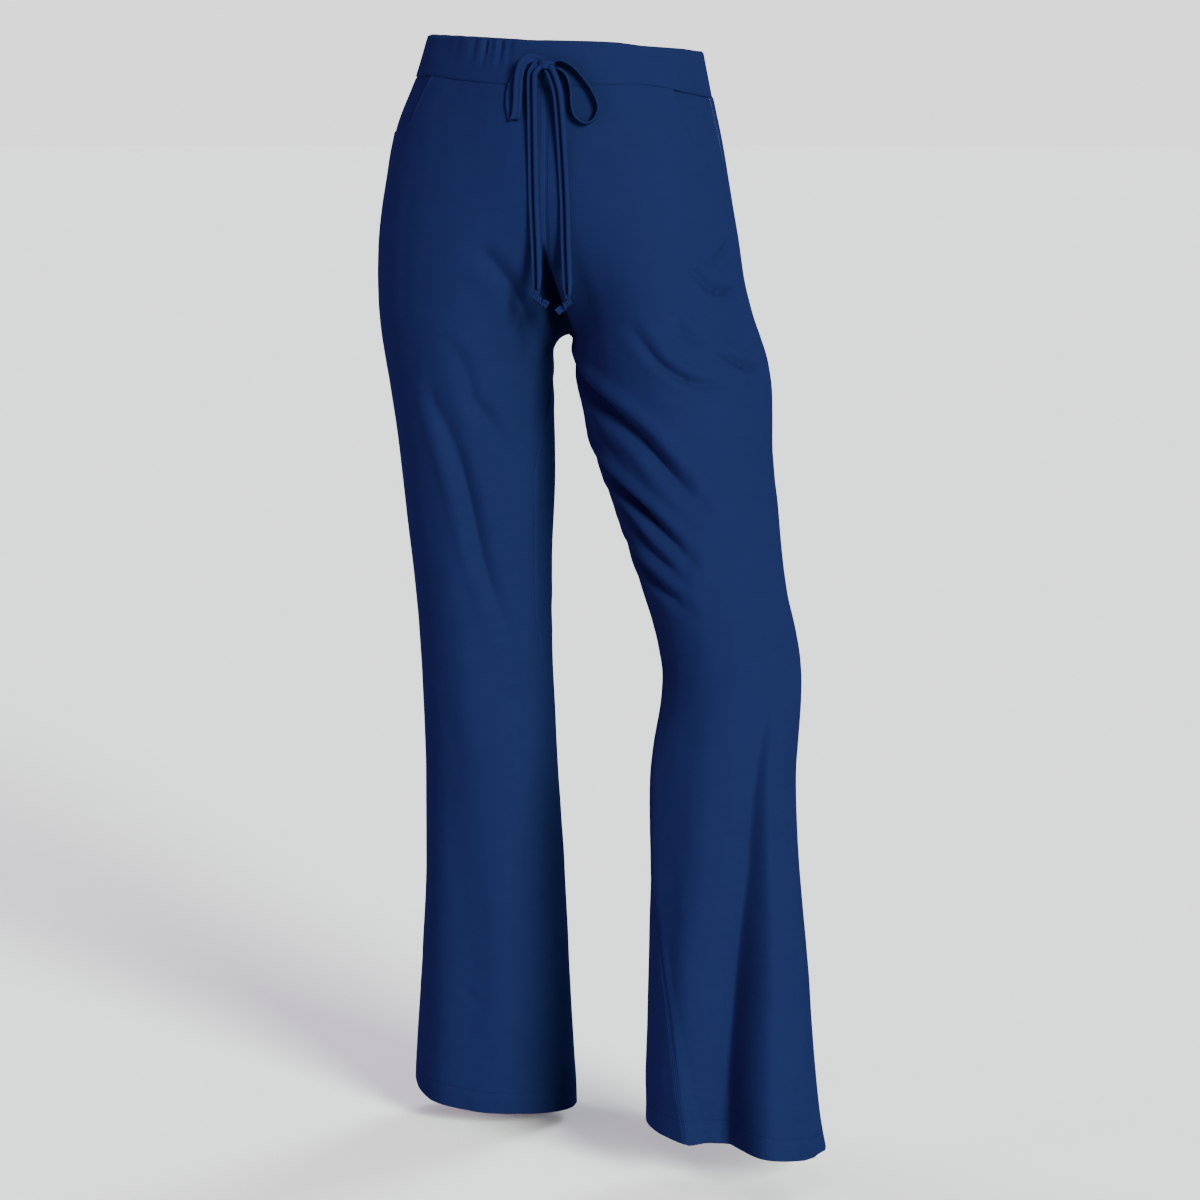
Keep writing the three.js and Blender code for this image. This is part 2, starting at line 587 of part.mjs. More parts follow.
function bandGrid(face, columns) {
  const grid = [];
  for (let i = 0; i <= BAND.rows; i += 1) {
    const at = i / BAND.rows;
    const halves = { [RIGHT]: section(RIGHT, face, at), [LEFT]: section(LEFT, face, at) };
    const row = [];
    for (let k = 0; k <= columns; k += 1) {
      const t = k / columns;
      const side = t < 0.5 ? RIGHT : LEFT;
      row.push(tilted(halves[side].getPoint(Math.abs(2 * t - 1))));
    }
    grid.push(row);
  }
  grid[BAND.rows].forEach((point) => point.setZ(point.z + SEAM_GAP / 2));
  return grid;
}

function makeBand(face, columns) {
  const grid = bandGrid(face, columns);
  return { face, columns, grid, normals: gridNormals(grid, face) };
}

const bands = {
  [FRONT]: makeBand(FRONT, BAND.frontColumns),
  [BACK]: makeBand(BACK, BAND.backColumns),
};

function openBandSeams() {
  for (let i = 0; i <= BAND.rows; i += 1) {
    for (const end of [0, 1]) {
      shareNormals(Object.values(bands).map((band) => [band, i, end * band.columns]));
    }
    Object.values(bands).forEach((band) => {
      band.grid[i][0].y += band.face * SEAM_GAP / 2;
      band.grid[i][band.columns].y += band.face * SEAM_GAP / 2;
    });
  }
}
openBandSeams();

function waistband(face) {
  const band = bands[face];
  const { from, to, count, depth } = GATHERS[face];
  const wave = (i, j) => {
    const t = j / band.columns;
    const inside = THREE.MathUtils.smoothstep(t, from, from + 0.02) * THREE.MathUtils.smoothstep(-t, -to, 0.02 - to);
    const phase = 2 * Math.PI * count * (t - from) / (to - from);
    return -depth * inside * (1 - i / BAND.rows) * (0.5 - 0.5 * Math.cos(phase));
  };
  const outBy = (i, j) => BAND.proud + wave(i, j);
  const inBy = (i, j) => -BAND.inside + wave(i, j);
  return wall(band.grid, band.normals, outBy, inBy);
}

// A route whose section keeps its width along given directions instead of turning freely.
class StrapRoute extends THREE.CatmullRomCurve3 {
  constructor(rows) {
    super(rows.map((row) => new THREE.Vector3(row.x, row.y, row.z)), false, 'centripetal');
    this.widths = rows.map(({ wx = 0, wy = 0, wz = 0 }) => new THREE.Vector3(wx, wy, wz));
  }

  computeFrenetFrames(segments) {
    const tangents = [];
    const normals = [];
    const binormals = [];
    for (let k = 0; k <= segments; k += 1) {
      const u = k / segments;
      const tangent = this.getTangentAt(u);
      const at = this.getUtoTmapping(u) * (this.widths.length - 1);
      const i = Math.min(Math.floor(at), this.widths.length - 2);
      const width = this.widths[i].clone().lerp(this.widths[i + 1], at - i);
      width.addScaledVector(tangent, -width.dot(tangent)).normalize();
      tangents.push(tangent);
      normals.push(width);
      binormals.push(new THREE.Vector3().crossVectors(tangent, width));
    }
    return { tangents, normals, binormals };
  }
}

// Flat strap section with eight corners.
function strapShape() {
  const [a, b] = [STRAP.wide / 2, STRAP.thick / 2];
  const bevel = 0.7;
  const corners = [[a, b - bevel], [a - bevel, b], [bevel - a, b], [-a, b - bevel]];
  const points = [...corners, ...corners.map(([x, y]) => [-x, -y])];
  return new THREE.Shape(points.map(([x, y]) => new THREE.Vector2(x, y)));
}

function strap(rows, stepLength) {
  const route = new StrapRoute(rows);
  const steps = Math.round(route.getLength() / stepLength);
  return new THREE.ExtrudeGeometry(strapShape(), { steps, bevelEnabled: false, extrudePath: route });
}

function ball(x, y, z, rx, ry, rz, segments, rings) {
  const geometry = new THREE.SphereGeometry(1, segments, rings);
  geometry.scale(rx, ry, rz);
  geometry.translate(x, y, z);
  return geometry;
}

// Strap with the space of the bow's knot and a small gap taken off its end.
function strapFromKnot(rows, stepLength) {
  const { x, y, z, rx, ry, rz } = KNOT;
  const space = ball(x, y, z, rx + SEAM_GAP, ry + SEAM_GAP, rz + SEAM_GAP, 16, 12);
  return toGeometry(toSolid(strap(rows, stepLength)).subtract(toSolid(space)));
}

function bowKnot() {
  const { x, y, z, rx, ry, rz } = KNOT;
  return ball(x, y, z, rx, ry, rz, 16, 12);
}

// An overhand knot near the end of a tail, with the cut tip standing out of it.
function endKnot({ x, y, z, tipX, tipZ }) {
  const knot = toSolid(ball(x, y, z, 7.5, 5, 5.5, 12, 8));
  const tip = strap([{ x, y, z, wy: 1 }, { x: (x + tipX) / 2, y, z: (z + tipZ) / 2, wy: 1 },
    { x: tipX, y, z: tipZ, wy: 1 }], 4);
  return toGeometry(knot.add(toSolid(tip)));
}

const trousers = new THREE.Group();

function addPiece(name, geometry, roughness = 0.75) {
  const material = new THREE.MeshStandardMaterial({ color: NAVY, roughness, metalness: 0 });
  const mesh = new THREE.Mesh(geometry, material);
  mesh.name = name;
  trousers.add(mesh);
}

addPiece('waistband_front', waistband(FRONT));
addPiece('waistband_back', waistband(BACK));
for (const [name, side] of [['right', RIGHT], ['left', LEFT]]) {
  addPiece(`front_${name}`, frontPanel(side));
  addPiece(`back_${name}`, legPanel(side, BACK));
  addPiece(`pocket_facing_${name}`, pocketFacing(side));
  addPiece(`drawstring_tail_${name}`, strapFromKnot(TAILS[name], 16));
  addPiece(`drawstring_loop_${name}`, strapFromKnot(LOOPS[name], 6));
  addPiece(`drawstring_end_${name}`, endKnot(END_KNOTS[name]));
}
addPiece('drawstring_knot', bowKnot());

export default trousers;
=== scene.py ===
"""Scrub trousers with a drawstring waist, laid out as an add-on and run as a script."""

import math

import bmesh
import bpy
import numpy as np
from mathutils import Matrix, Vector, noise


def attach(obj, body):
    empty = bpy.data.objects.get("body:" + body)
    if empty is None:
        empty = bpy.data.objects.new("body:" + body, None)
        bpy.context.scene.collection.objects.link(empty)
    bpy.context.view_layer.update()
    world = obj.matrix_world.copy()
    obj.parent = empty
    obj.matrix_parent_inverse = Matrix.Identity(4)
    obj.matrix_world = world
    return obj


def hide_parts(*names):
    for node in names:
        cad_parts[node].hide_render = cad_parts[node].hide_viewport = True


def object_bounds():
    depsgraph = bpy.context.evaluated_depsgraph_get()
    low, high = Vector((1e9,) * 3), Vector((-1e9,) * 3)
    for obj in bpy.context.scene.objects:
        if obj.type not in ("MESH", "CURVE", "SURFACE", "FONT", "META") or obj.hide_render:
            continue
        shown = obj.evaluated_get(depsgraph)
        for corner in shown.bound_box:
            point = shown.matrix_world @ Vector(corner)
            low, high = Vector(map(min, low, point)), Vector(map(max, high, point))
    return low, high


bl_info = {
    "name": "Scrub trousers",
    "version": (1, 0, 0),
    "blender": (4, 5, 0),
    "location": "3D View > Sidebar > Trousers",
    "description": "Sews up drawstring scrub trousers round a packed frame",
    "category": "Object",
}

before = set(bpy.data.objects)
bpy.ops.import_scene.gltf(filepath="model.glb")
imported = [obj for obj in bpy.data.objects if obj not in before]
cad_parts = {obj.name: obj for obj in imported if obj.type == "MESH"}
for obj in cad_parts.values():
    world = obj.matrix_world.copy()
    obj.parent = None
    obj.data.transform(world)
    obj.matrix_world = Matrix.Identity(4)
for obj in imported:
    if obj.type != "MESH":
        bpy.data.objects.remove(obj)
CAD_BOX = [list(corner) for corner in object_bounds()]

# Lengths below are in millimetres unless their comment says metres. The frame is in metres.
MM = 0.001
RIGHT, LEFT = -1, 1
FRONT, BACK = -1, 1
SIDE_NAMES = {RIGHT: "right", LEFT: "left"}
FACE_NAMES = {FRONT: "front", BACK: "back"}
PANEL_ORDER = ((RIGHT, FRONT), (RIGHT, BACK), (LEFT, FRONT), (LEFT, BACK))

# Centre seams from the waist to the crotch: height, front depth, back depth, turn under in degrees.
CENTRE = [
    (0, -101, 101, 0),
    (-40, -106, 110, 0),
    (-90, -111, 122, 0),
    (-150, -113, 131, 3),
    (-200, -104, 130, 10),
    (-240, -82, 113, 25),
    (-267, -48, 85, 45),
    (-281, -12, 50, 70),
    (-285, 20, 20, 90),
]
CROTCH = len(CENTRE) - 1

# Inseams from the crotch to the hem.
INSEAM = {
    RIGHT: [
        (0, 20, -285), (-17, 18, -287), (-19.5, 14, -301), (-17, 9, -352), (-15.5, 6, -430),
        (-19, 6, -512), (-19, 7, -597), (-15, 9, -699), (-9.5, 11, -800), (-4.5, 13, -902),
        (1, 15, -1005), (3.5, 16, -1049), (4, 16, -1071),
    ],
    LEFT: [
        (0, 20, -285), (9, 14, -287), (10.5, 3, -301), (20, -19, -352), (53, -52, -430),
        (89.5, -84, -512), (116.5, -114, -597), (109, -138, -697), (113, -154, -796),
        (113, -167, -890), (112.5, -178, -975), (113.5, -181, -1007), (113.5, -182, -1029),
    ],
}

# Sections from the waist to the hem: side seam x, y, z, then the fullest point of the front x, y and
# the slope of the cloth there, then the same of the back.
SECTIONS = {
    RIGHT: [
        (-137, 0, 0, -70, -87, 0.43, -70, 88, 0.43),
        (-149, 0, -40, -73, -92, 0.42, -73, 95, 0.43),
        (-169, 0, -90, -80, -99, 0.30, -80, 108, 0.34),
        (-180, 1, -145, -86, -103, 0.22, -86, 120, 0.24),
        (-187, 1, -190, -90, -106, 0.12, -88, 124, 0.15),
        (-189, 2, -225, -92, -105, 0.05, -90, 122, 0.08),
        (-190, 2, -255, -93, -102, 0, -92, 117, 0.03),
        (-188, 3, -280, -94, -98, 0, -93, 111, 0),
        (-182, 3, -305, -95, -94, 0, -94, 105, 0),
        (-180, 4, -322, -95, -91, 0, -95, 101, 0),
        (-176, 4, -348, -95, -88, 0, -95, 96, 0),
        (-171, 5, -385, -93, -82, 0, -93, 90, 0),
        (-165, 6, -445, -90, -75, 0, -90, 85, 0),
        (-157, 7, -520, -87, -69, 0, -87, 80, 0),
        (-150, 8, -600, -83, -63, 0, -83, 77, 0),
        (-146, 9, -700, -80, -57, 0, -80, 76, 0),
        (-147, 11, -800, -78, -55, 0, -78, 79, 0),
        (-151, 13, -900, -76, -55, 0, -76, 83, 0),
        (-157, 15, -992, -76, -56, 0, -76, 87, 0),
        (-159, 16, -1031, -76, -60, 0, -76, 88, 0),
        (-160, 16, -1053, -76, -61, 0, -76, 89, 0),
    ],
    LEFT: [
        (134, 0, 0, 70, -87, 0.43, 70, 88, 0.43),
        (142, 0, -40, 72, -92, 0.42, 72, 95, 0.43),
        (152, 0, -90, 80, -101, 0.28, 78, 107, 0.34),
        (162, -2, -145, 88, -110, 0.20, 84, 117, 0.26),
        (170, -5, -190, 93, -117, 0.12, 88, 118, 0.18),
        (175, -8, -225, 97, -121, 0.06, 92, 112, 0.10),
        (182, -12, -255, 101, -124, 0, 96, 103, 0.05),
        (192, -16, -280, 105, -126, 0, 101, 93, 0),
        (202.5, -21, -305, 109, -128, 0, 106, 82, 0),
        (206, -25, -322, 112, -129, 0, 110, 75, 0),
        (210, -33, -348, 116, -130, 0, 114, 65, 0),
        (209.5, -45, -385, 122, -134, 0, 122, 49, 0),
        (220, -68, -445, 138, -147, 0, 138, 20, 0),
        (232, -96, -520, 157, -168, 0, 157, -14, 0),
        (251, -121, -600, 183, -190, 0, 183, -45, 0),
        (249.5, -141, -700, 188, -207, 0, 188, -66, 0),
        (257, -155, -800, 190, -221, 0, 190, -82, 0),
        (268, -168, -900, 193, -236, 0, 193, -95, 0),
        (278, -178, -1003, 198, -249, 0, 198, -104, 0),
        (283, -181, -1044, 200, -250, 0, 200, -107, 0),
        (286, -182, -1066, 201, -251, 0, 201, -109, 0),
    ],
}

# Rows of the table at which the band's seam and the hem lie.
BAND_SEAM = 1
HEM = len(SECTIONS[RIGHT]) - 1

# Height of a section's fullest point, as a share of the way from its inner end to its side seam, and how
# far a line's handles reach, straight on and where it turns.
FULL_DROP = 0.3
HANDLE, HANDLE_TURN = 0.38, 0.17

# Slope of the waist from side to side, and the heights between which it fades out.
WAIST_TILT = 0.066
TILT_FADE = (-310, -150)

# Where the inseam has turned to the front of the leg: height and how far round it lies.
SEAM_TURN = {
    RIGHT: [
        (-285, 0), (-330, 3), (-365, 22), (-398, 40), (-425, 44), (-493, 38), (-562, 34), (-614, 21),
        (-660, 10), (-720, 0), (-1071, 0),
    ],
    LEFT: [
        (-285, 0), (-700, 0), (-760, 10), (-811, 29), (-858, 46), (-905, 60), (-950, 70), (-987, 77),
        (-1029, 84),
    ],
}

# Least turn or slip of a seam that counts, which is also the gap left from a turned seam to the next point
# of the cloth, and that gap at a slipped side seam.
TURN_GAP, SLIP_GAP = 0.5, 0.2

# How far the side seam lies behind the widest line: on the wearer's left it has slipped to the back. Then
# the heights between which that fades out towards the waist.
SIDE_SLIP = {RIGHT: 0, LEFT: 14}
SLIP_FADE = (-170, -50)

# How far the front of the waist stands above the plain line: place across, at the top edge, at the seam.
# Then the heights between which that sets in.
WAIST_LIFT = [
    (-149, 0, 0), (-129, -1.5, 3.2), (-90, 0, 1.5), (-52, 0.6, 0.4), (-19, 1.6, 1), (0, 3, 1.6),
    (28, 4.2, 4), (44, 5, 5.5), (68, 5.3, 8), (88, 3.6, 9.6), (112, 3.3, 7.2), (124, 3, 4.5), (142, 0, 0),
]
LIFT_FADE = (-150, -55)

# How far each leg's lower edge curls up from the plain line, by place across; the back only near its seams.
HEM_LIFT = {
    (RIGHT, FRONT): [(-160, 9), (-152, 5), (-133, 2.2), (-90, 1.8), (-40, 3), (-10, 1), (4, 0)],
    (RIGHT, BACK): [(-160, 9), (-150, 3), (-130, 0), (4, 0)],
    (LEFT, FRONT): [
        (113, 5.5), (140, 4), (164, 2.5), (206, 5), (218, 6), (230, 5.5), (248, 6), (268, 7), (279, 10),
        (286, 16),
    ],
    (LEFT, BACK): [(113, 5.5), (128, 0), (262, 0), (279, 7), (286, 15)],
}

# Heights between which the cloth hangs over the crotch without following each section closely: where that
# starts and is full below, and is full and ends above. Then its reach from the inseam, as a share of the
# panel's width, and how many times the cloth is evened out.
HANG_OVER = (-400, -335, -262, -190)
HANG_REACH, HANG_ROUNDS = 0.22, 160

# Folds of the front panels: places (across the panel from 0 at the inner seam to 1 at the side seam,
# height), half width, depth, how sharp the crease is, and the ridges above and below it.
FRONT_FOLDS = {
    RIGHT: [
        ([(0.50, -290), (0.458, -319), (0.417, -348), (0.358, -370), (0.308, -395), (0.267, -425)],
         8, 2.8, 1.6, 0.4, 0.3),
        ([(0.60, -330), (0.575, -354), (0.517, -400), (0.467, -452), (0.425, -503), (0.375, -539),
          (0.30, -592)], 8, 3.4, 1.5, 0.5, 0.3),
        ([(0.60, -938), (0.55, -948), (0.49, -958)], 5, 0.5, 1.5, 0.3, 0.3),
        ([(0.42, -980), (0.37, -992), (0.32, -1000)], 5, 0.5, 1.5, 0.3, 0.3),
    ],
    LEFT: [
        ([(0.58, -208), (0.64, -220), (0.71, -233), (0.80, -237), (0.90, -239)], 4.5, 3.2, 1.4, 0.5, 0.2),
        ([(0.90, -188), (0.80, -199), (0.70, -212)], 4.5, 2.4, 1.4, 0.4, 0.2),
        ([(0.57, -262), (0.61, -272), (0.69, -282)], 4.5, 2.4, 1.4, 0.4, 0.2),
        ([(0.73, -290), (0.80, -302), (0.86, -309), (0.94, -315)], 5, 3.6, 1.4, 0.5, 0.3),
        ([(0.42, -266), (0.50, -284), (0.56, -303), (0.62, -316), (0.68, -322), (0.78, -321)],
         5, 3.4, 1.4, 0.5, 0.2),
        ([(0.05, -300), (0.14, -315), (0.24, -332), (0.35, -350), (0.45, -374), (0.525, -406), (0.60, -433)],
         9, 7.6, 1.5, 0.55, 0.3),
        ([(0.24, -360), (0.27, -372), (0.33, -396)], 5, 1.8, 1.4, 0.4, 0.3),
        ([(0.06, -386), (0.16, -402), (0.26, -420), (0.36, -441), (0.42, -457), (0.51, -484)],
         7, 7.0, 1.5, 0.6, 0.3),
        ([(0.17, -432), (0.26, -449), (0.35, -478), (0.46, -503)], 6, 3.2, 1.5, 0.5, 0.3),
        ([(0.08, -468), (0.20, -490), (0.32, -511), (0.44, -529)], 7, 4.6, 1.5, 0.55, 0.3),
        ([(0.07, -600), (0.085, -680), (0.09, -750), (0.07, -830)], 9, 3.0, 1.6, 0.3, 0.1),
        ([(0.30, -700), (0.27, -820), (0.25, -940), (0.26, -1030)], 16, 1.6, 2.0, 0.3, 0.3),
        ([(0.35, -1022), (0.385, -1029), (0.42, -1026)], 2.8, 0.9, 1.5, 0.5, 0.3),
        ([(0.355, -1041), (0.395, -1036), (0.45, -1043)], 2.8, 0.9, 1.5, 0.5, 0.3),
    ],
}

# Folds beside the crotch by their place seen from the front, across and height, because the panels' widths
# change suddenly there. They show where the cloth faces forwards, between these two shares.
SEEN_FOLDS = {
    RIGHT: [
        ([(-67, -194), (-53, -208), (-38, -230), (-31.5, -246), (-27, -264), (-25, -288), (-21, -313),
          (-16, -336)], 8.5, 4.4, 1.5, 0.15, 0.2),
    ],
    LEFT: [],
}
FACING_FORWARDS = (0.1, 0.6)

# Folds of the back panels, under the seat and behind the knees, in the form of the front's.
BACK_FOLDS = {
    RIGHT: [
        ([(0.10, -300), (0.30, -322), (0.55, -330), (0.85, -305)], 9, 4.0, 1.5, 0.5, 0.3),
        ([(0.08, -330), (0.28, -358), (0.50, -372), (0.72, -368)], 8, 3.0, 1.5, 0.5, 0.3),
        ([(0.05, -270), (0.20, -240), (0.42, -214), (0.60, -200)], 9, 2.4, 1.6, 0.4, 0.2),
        ([(0.12, -560), (0.40, -585), (0.80, -560)], 9, 2.6, 1.5, 0.5, 0.3),
        ([(0.20, -596), (0.50, -618), (0.75, -604)], 8, 2.2, 1.5, 0.5, 0.3),
        ([(0.45, -700), (0.42, -850), (0.50, -1040)], 16, 3.0, 2.0, 0.3, 0.3),
    ],
    LEFT: [
        ([(0.08, -300), (0.30, -330), (0.55, -345), (0.88, -315)], 9, 4.2, 1.5, 0.5, 0.3),
        ([(0.10, -340), (0.30, -372), (0.52, -385), (0.78, -372)], 8, 3.2, 1.5, 0.5, 0.3),
        ([(0.05, -268), (0.20, -238), (0.40, -212), (0.58, -200)], 9, 2.4, 1.6, 0.4, 0.2),
        ([(0.12, -600), (0.45, -625), (0.85, -596)], 9, 3.0, 1.5, 0.5, 0.3),
        ([(0.20, -640), (0.50, -662), (0.78, -648)], 8, 2.4, 1.5, 0.5, 0.3),
        ([(0.50, -720), (0.46, -860), (0.55, -1040)], 16, 3.4, 2.0, 0.3, 0.3),
    ],
}

# Shape of every fold: pieces that its line is cut into, how fast its ends fade, where its ridges lie and
# how wide they are in half widths of the fold, and how far out it still counts.
FOLD_STEPS, FOLD_ENDS = 30, 0.6
RIDGE_PLACE, RIDGE_WIDTH, FOLD_REACH = 1.9, 1.2, 3

# Distance from a seam within which the folds flatten out.
FOLD_HOLD = 12

# Share of a flank's rise that stands out from the plain form. The rest sinks in.
FLANK_LIFT = 0.4

# Broad flanks that turn to one side. Places are height, how far across, half width and share of the rise;
# then the rise and how far behind the flank it dies away.
FLANKS = {
    (LEFT, FRONT): [
        ([(-600, 0.748, 4, 0), (-691, 0.721, 5, 0.22), (-771, 0.696, 8, 0.42), (-872, 0.645, 16, 0.80),
          (-967, 0.597, 21, 0.95), (-1070, 0.565, 23, 1)], 48, 66),
        ([(-580, 0.09, 10, 0), (-660, 0.10, 11, 1), (-800, 0.10, 11, 1), (-900, 0.12, 11, 0)], 9, 50),
    ],
    (RIGHT, FRONT): [
        ([(-640, 0.66, 10, 0), (-760, 0.66, 14, 0.6), (-900, 0.64, 18, 1), (-1071, 0.62, 20, 1)], 5, 55),
        ([(-300, 0.56, 10, 0), (-380, 0.54, 14, 1), (-520, 0.52, 16, 1), (-700, 0.50, 18, 0)], 4.5, 55),
    ],
}

# Cleft between the thighs above the crotch: half width at its top and foot, the drops between which it
# widens, how far the cloth goes in towards the crotch, and where the crotch lies.
CLEFT_NARROW, CLEFT_WIDE, CLEFT_DROPS = 2.6, 12.5, (196, 280)
CLEFT_SHARE, CLEFT_BACK = 0.62, 19

# Drops over which the cleft sets in and ends, and how far it lies off the middle, by drop.
CLEFT_IN, CLEFT_OUT = (184, 252), (286, 300)
CLEFT_OFF = ((190, 285), (-4.5, -0.5))

# How deep the cloth rolls in at a seam between panels and at the band's seam, the reach of each, and how
# sharply the roll ends.
SEAM_DIP, SEAM_REACH = 1.0, 1.5
BAND_DIP, BAND_REACH = 1.4, 2.1
DIP_SHAPE = 1.3

# Unevenness of the cloth: its lengths round the leg and down it, and its share, from broad to fine, and
# what shifts one from the other.
RIPPLES = ((46, 210, 1), (24, 75, 0.42), (13, 30, 0.16))
RIPPLE_SEED = 3.7

# Pocket mouth: width at the band and at its foot, depth, corner, drop at the side seam, and how far its
# line runs on behind that seam.
POCKET_WIDE, POCKET_FOOT, POCKET_DEEP, POCKET_CORNER, POCKET_SIDE, POCKET_BEHIND = 72, 70, 50, 12, 66, 18

# How far the mouth's edge stands off the panel at its foot, how much more at the band, and the drops between.
MOUTH_PROUD, MOUTH_GAPE, GAPE_DROPS = 0.2, 0.7, (34, 50)

# Facing: its reach past the mouth below and forwards, how deep it lies behind the panel, how much deeper in
# the mouth's front corner, and where that deeper part begins and ends.
FACING_BELOW, FACING_FORWARD, FACING_DEEP, FACING_SINK = 22, 12, 0.8, 1.3
SINK_FORWARD, SINK_DROPS = (42, 66), (40, 54)

# Distance of the stitching from a seam and from the raw edge inside the hem.
SEAM_STITCH, HEM_STITCH = 2.2, 1.5

# Pocket mouth's sewing: distance of its two rows from the edge, and the ends of its two bar tacks.
POCKET_ROWS = (2.0, 7.0)
POCKET_TACKS = (
    ((POCKET_WIDE + 1, 1), (POCKET_WIDE + 1, 12)),
    ((1, POCKET_SIDE + 1), (10, POCKET_SIDE - 1)),
)

# Mock fly's bar tack and the buttonholes: places across and heights.
FLY_TACK = ((-34.5, -143), (-24.5, -143))
BUTTONHOLES = ((-5.7, -12.3), (6.3, -16.1))

# A buttonhole: half width and half height, how many stitches go round it, and half the length of one.
HOLE_WIDE, HOLE_HIGH, HOLE_STITCHES, HOLE_STITCH = 1.7, 4.4, 44, 0.8

# Drawstring: centre line (x, y, z) and direction of the strap's width, from the knot outwards.
TAILS = {
    RIGHT: [
        (-2, -114.5, -18, 0.3, 0, -0.95), (-6.5, -117.5, -20, 0.6, 0, -0.8),
        (-10.4, -118.5, -26, 0.9, 0, -0.4), (-11.6, -117, -36, 1, 0, -0.1), (-11.8, -114.8, -60, 1, 0, 0),
        (-11.2, -115.4, -95, 1, 0, 0), (-10.2, -116.3, -147, 1, 0, 0), (-8.2, -116.3, -195, 1, 0, 0),
        (-7.2, -116.3, -233, 1, 0, 0),
    ],
    LEFT: [
        (4, -116.6, -21, 0.9, 0, 0.4), (8, -118.8, -27, 0.93, 0, 0.37), (11, -118.7, -35, 0.96, 0, 0.25),
        (14.2, -118, -50, 1, 0, 0.1), (17.2, -117, -91, 1, 0, 0), (20.2, -117, -147, 1, 0, 0),
        (21.4, -117, -195, 1, 0, 0), (23.2, -117, -239, 1, 0, 0),
    ],
}
LOOPS = {
    RIGHT: [
        (-2, -111.5, -17, 0.2, 0, 1), (-8, -112.5, -13.5, 0, 0, 1), (-14, -113.5, -12.5, -0.1, 0, 1),
        (-21.5, -114.5, -18, -0.8, 0, 0.6), (-25, -114.5, -32, -1, 0, 0), (-26, -114.5, -48, -1, 0, 0),
        (-27, -114.5, -61, -1, 0, 0), (-29, -113, -69.5, -1, 0, 0), (-32.5, -110, -68, -1, 0, 0),
        (-34.5, -109, -58, -1, 0, 0), (-34.5, -107.6, -46, -1, 0, 0), (-30, -107.5, -33, -0.85, 0, 0.5),
        (-20, -108.5, -25, -0.5, 0, 0.85), (-8, -109.2, -24, -0.1, 0, 1), (-2, -109.5, -24, 0, 0, 1),
    ],
    LEFT: [
        (5, -111.5, -18, 0, 1, 0), (10, -112, -15.5, 0, 1, 0), (17.5, -111.5, -14.5, 0, 1, 0),
        (29.2, -109.5, -22, 0, 1, 0), (42.2, -108.5, -37.5, 0, 1, 0), (50, -109.5, -51, 0, 1, 0),
        (52, -110.5, -61, 0, 1, 0), (47.5, -112, -70.5, 0, 1, 0), (39.5, -112.8, -73.5, 0, 1, 0),
        (30.5, -113, -68, 0, 1, 0), (26.5, -112.5, -57, 0, 1, 0), (25.5, -111.8, -42, 0, 1, 0),
        (21.5, -111, -29, 0, 1, 0), (12.5, -110, -22, 0, 1, 0), (6, -109.5, -24, 0, 1, 0),
    ],
}

# Middle of the bow, where the drawstring comes out.
KNOT = (2.5, -110.9, -23)

# The bow's wrap: its middle off the bow's, half width and half depth of its turn, and its slant.
WRAP_OFF, WRAP_WIDE, WRAP_DEEP, WRAP_SLANT = (-1, -2.2, 4.6), 7.6, 5.6, 0.8

# Knots at the ends of the tails: middle of the bundle, and where the tip ends, across and in height.
END_KNOTS = {RIGHT: ((-7.0, -116.6, -241.5), (3.5, -248)), LEFT: ((23, -117.3, -245.5), (12.5, -254.5))}

# Their neck above the bundle, the turn at which the strap comes in and how far it goes round, in degrees,
# how far it moves along the bundle and its radius. Then how many points the turns have, and the tip's
# points: share of the way along the bundle and how far forward.
KNOT_NECK, KNOT_START, KNOT_TURN, KNOT_STEP, KNOT_ROUND = 8.5, 70, 540, 7.0, 2.3
KNOT_POINTS, KNOT_TIP = 15, ((0.62, -0.5), (0.85, 0.3), (1, 0.6))

# Width of the strap's parts as shares of the flat strap, at places from 0 to 1 along each: the tails are
# drawn in at their knots, and a knot's ends flare. Where it is drawn in, the strap swells by this power.
EVEN = ((0, 1), (1, 1))
TAIL_WIDE, TAIL_SHARES = 1.16, ((0, 1), (0.94, 1), (1, 0.66))
WRAP_SHARE = 0.9
KNOT_SHARE, KNOT_THICK = 0.5, 2.6
KNOT_SHARES = ((0, 1.35), (0.12, 1), (0.6, 1), (0.7, 1.4), (1, 1.6))
SWELL = -0.6


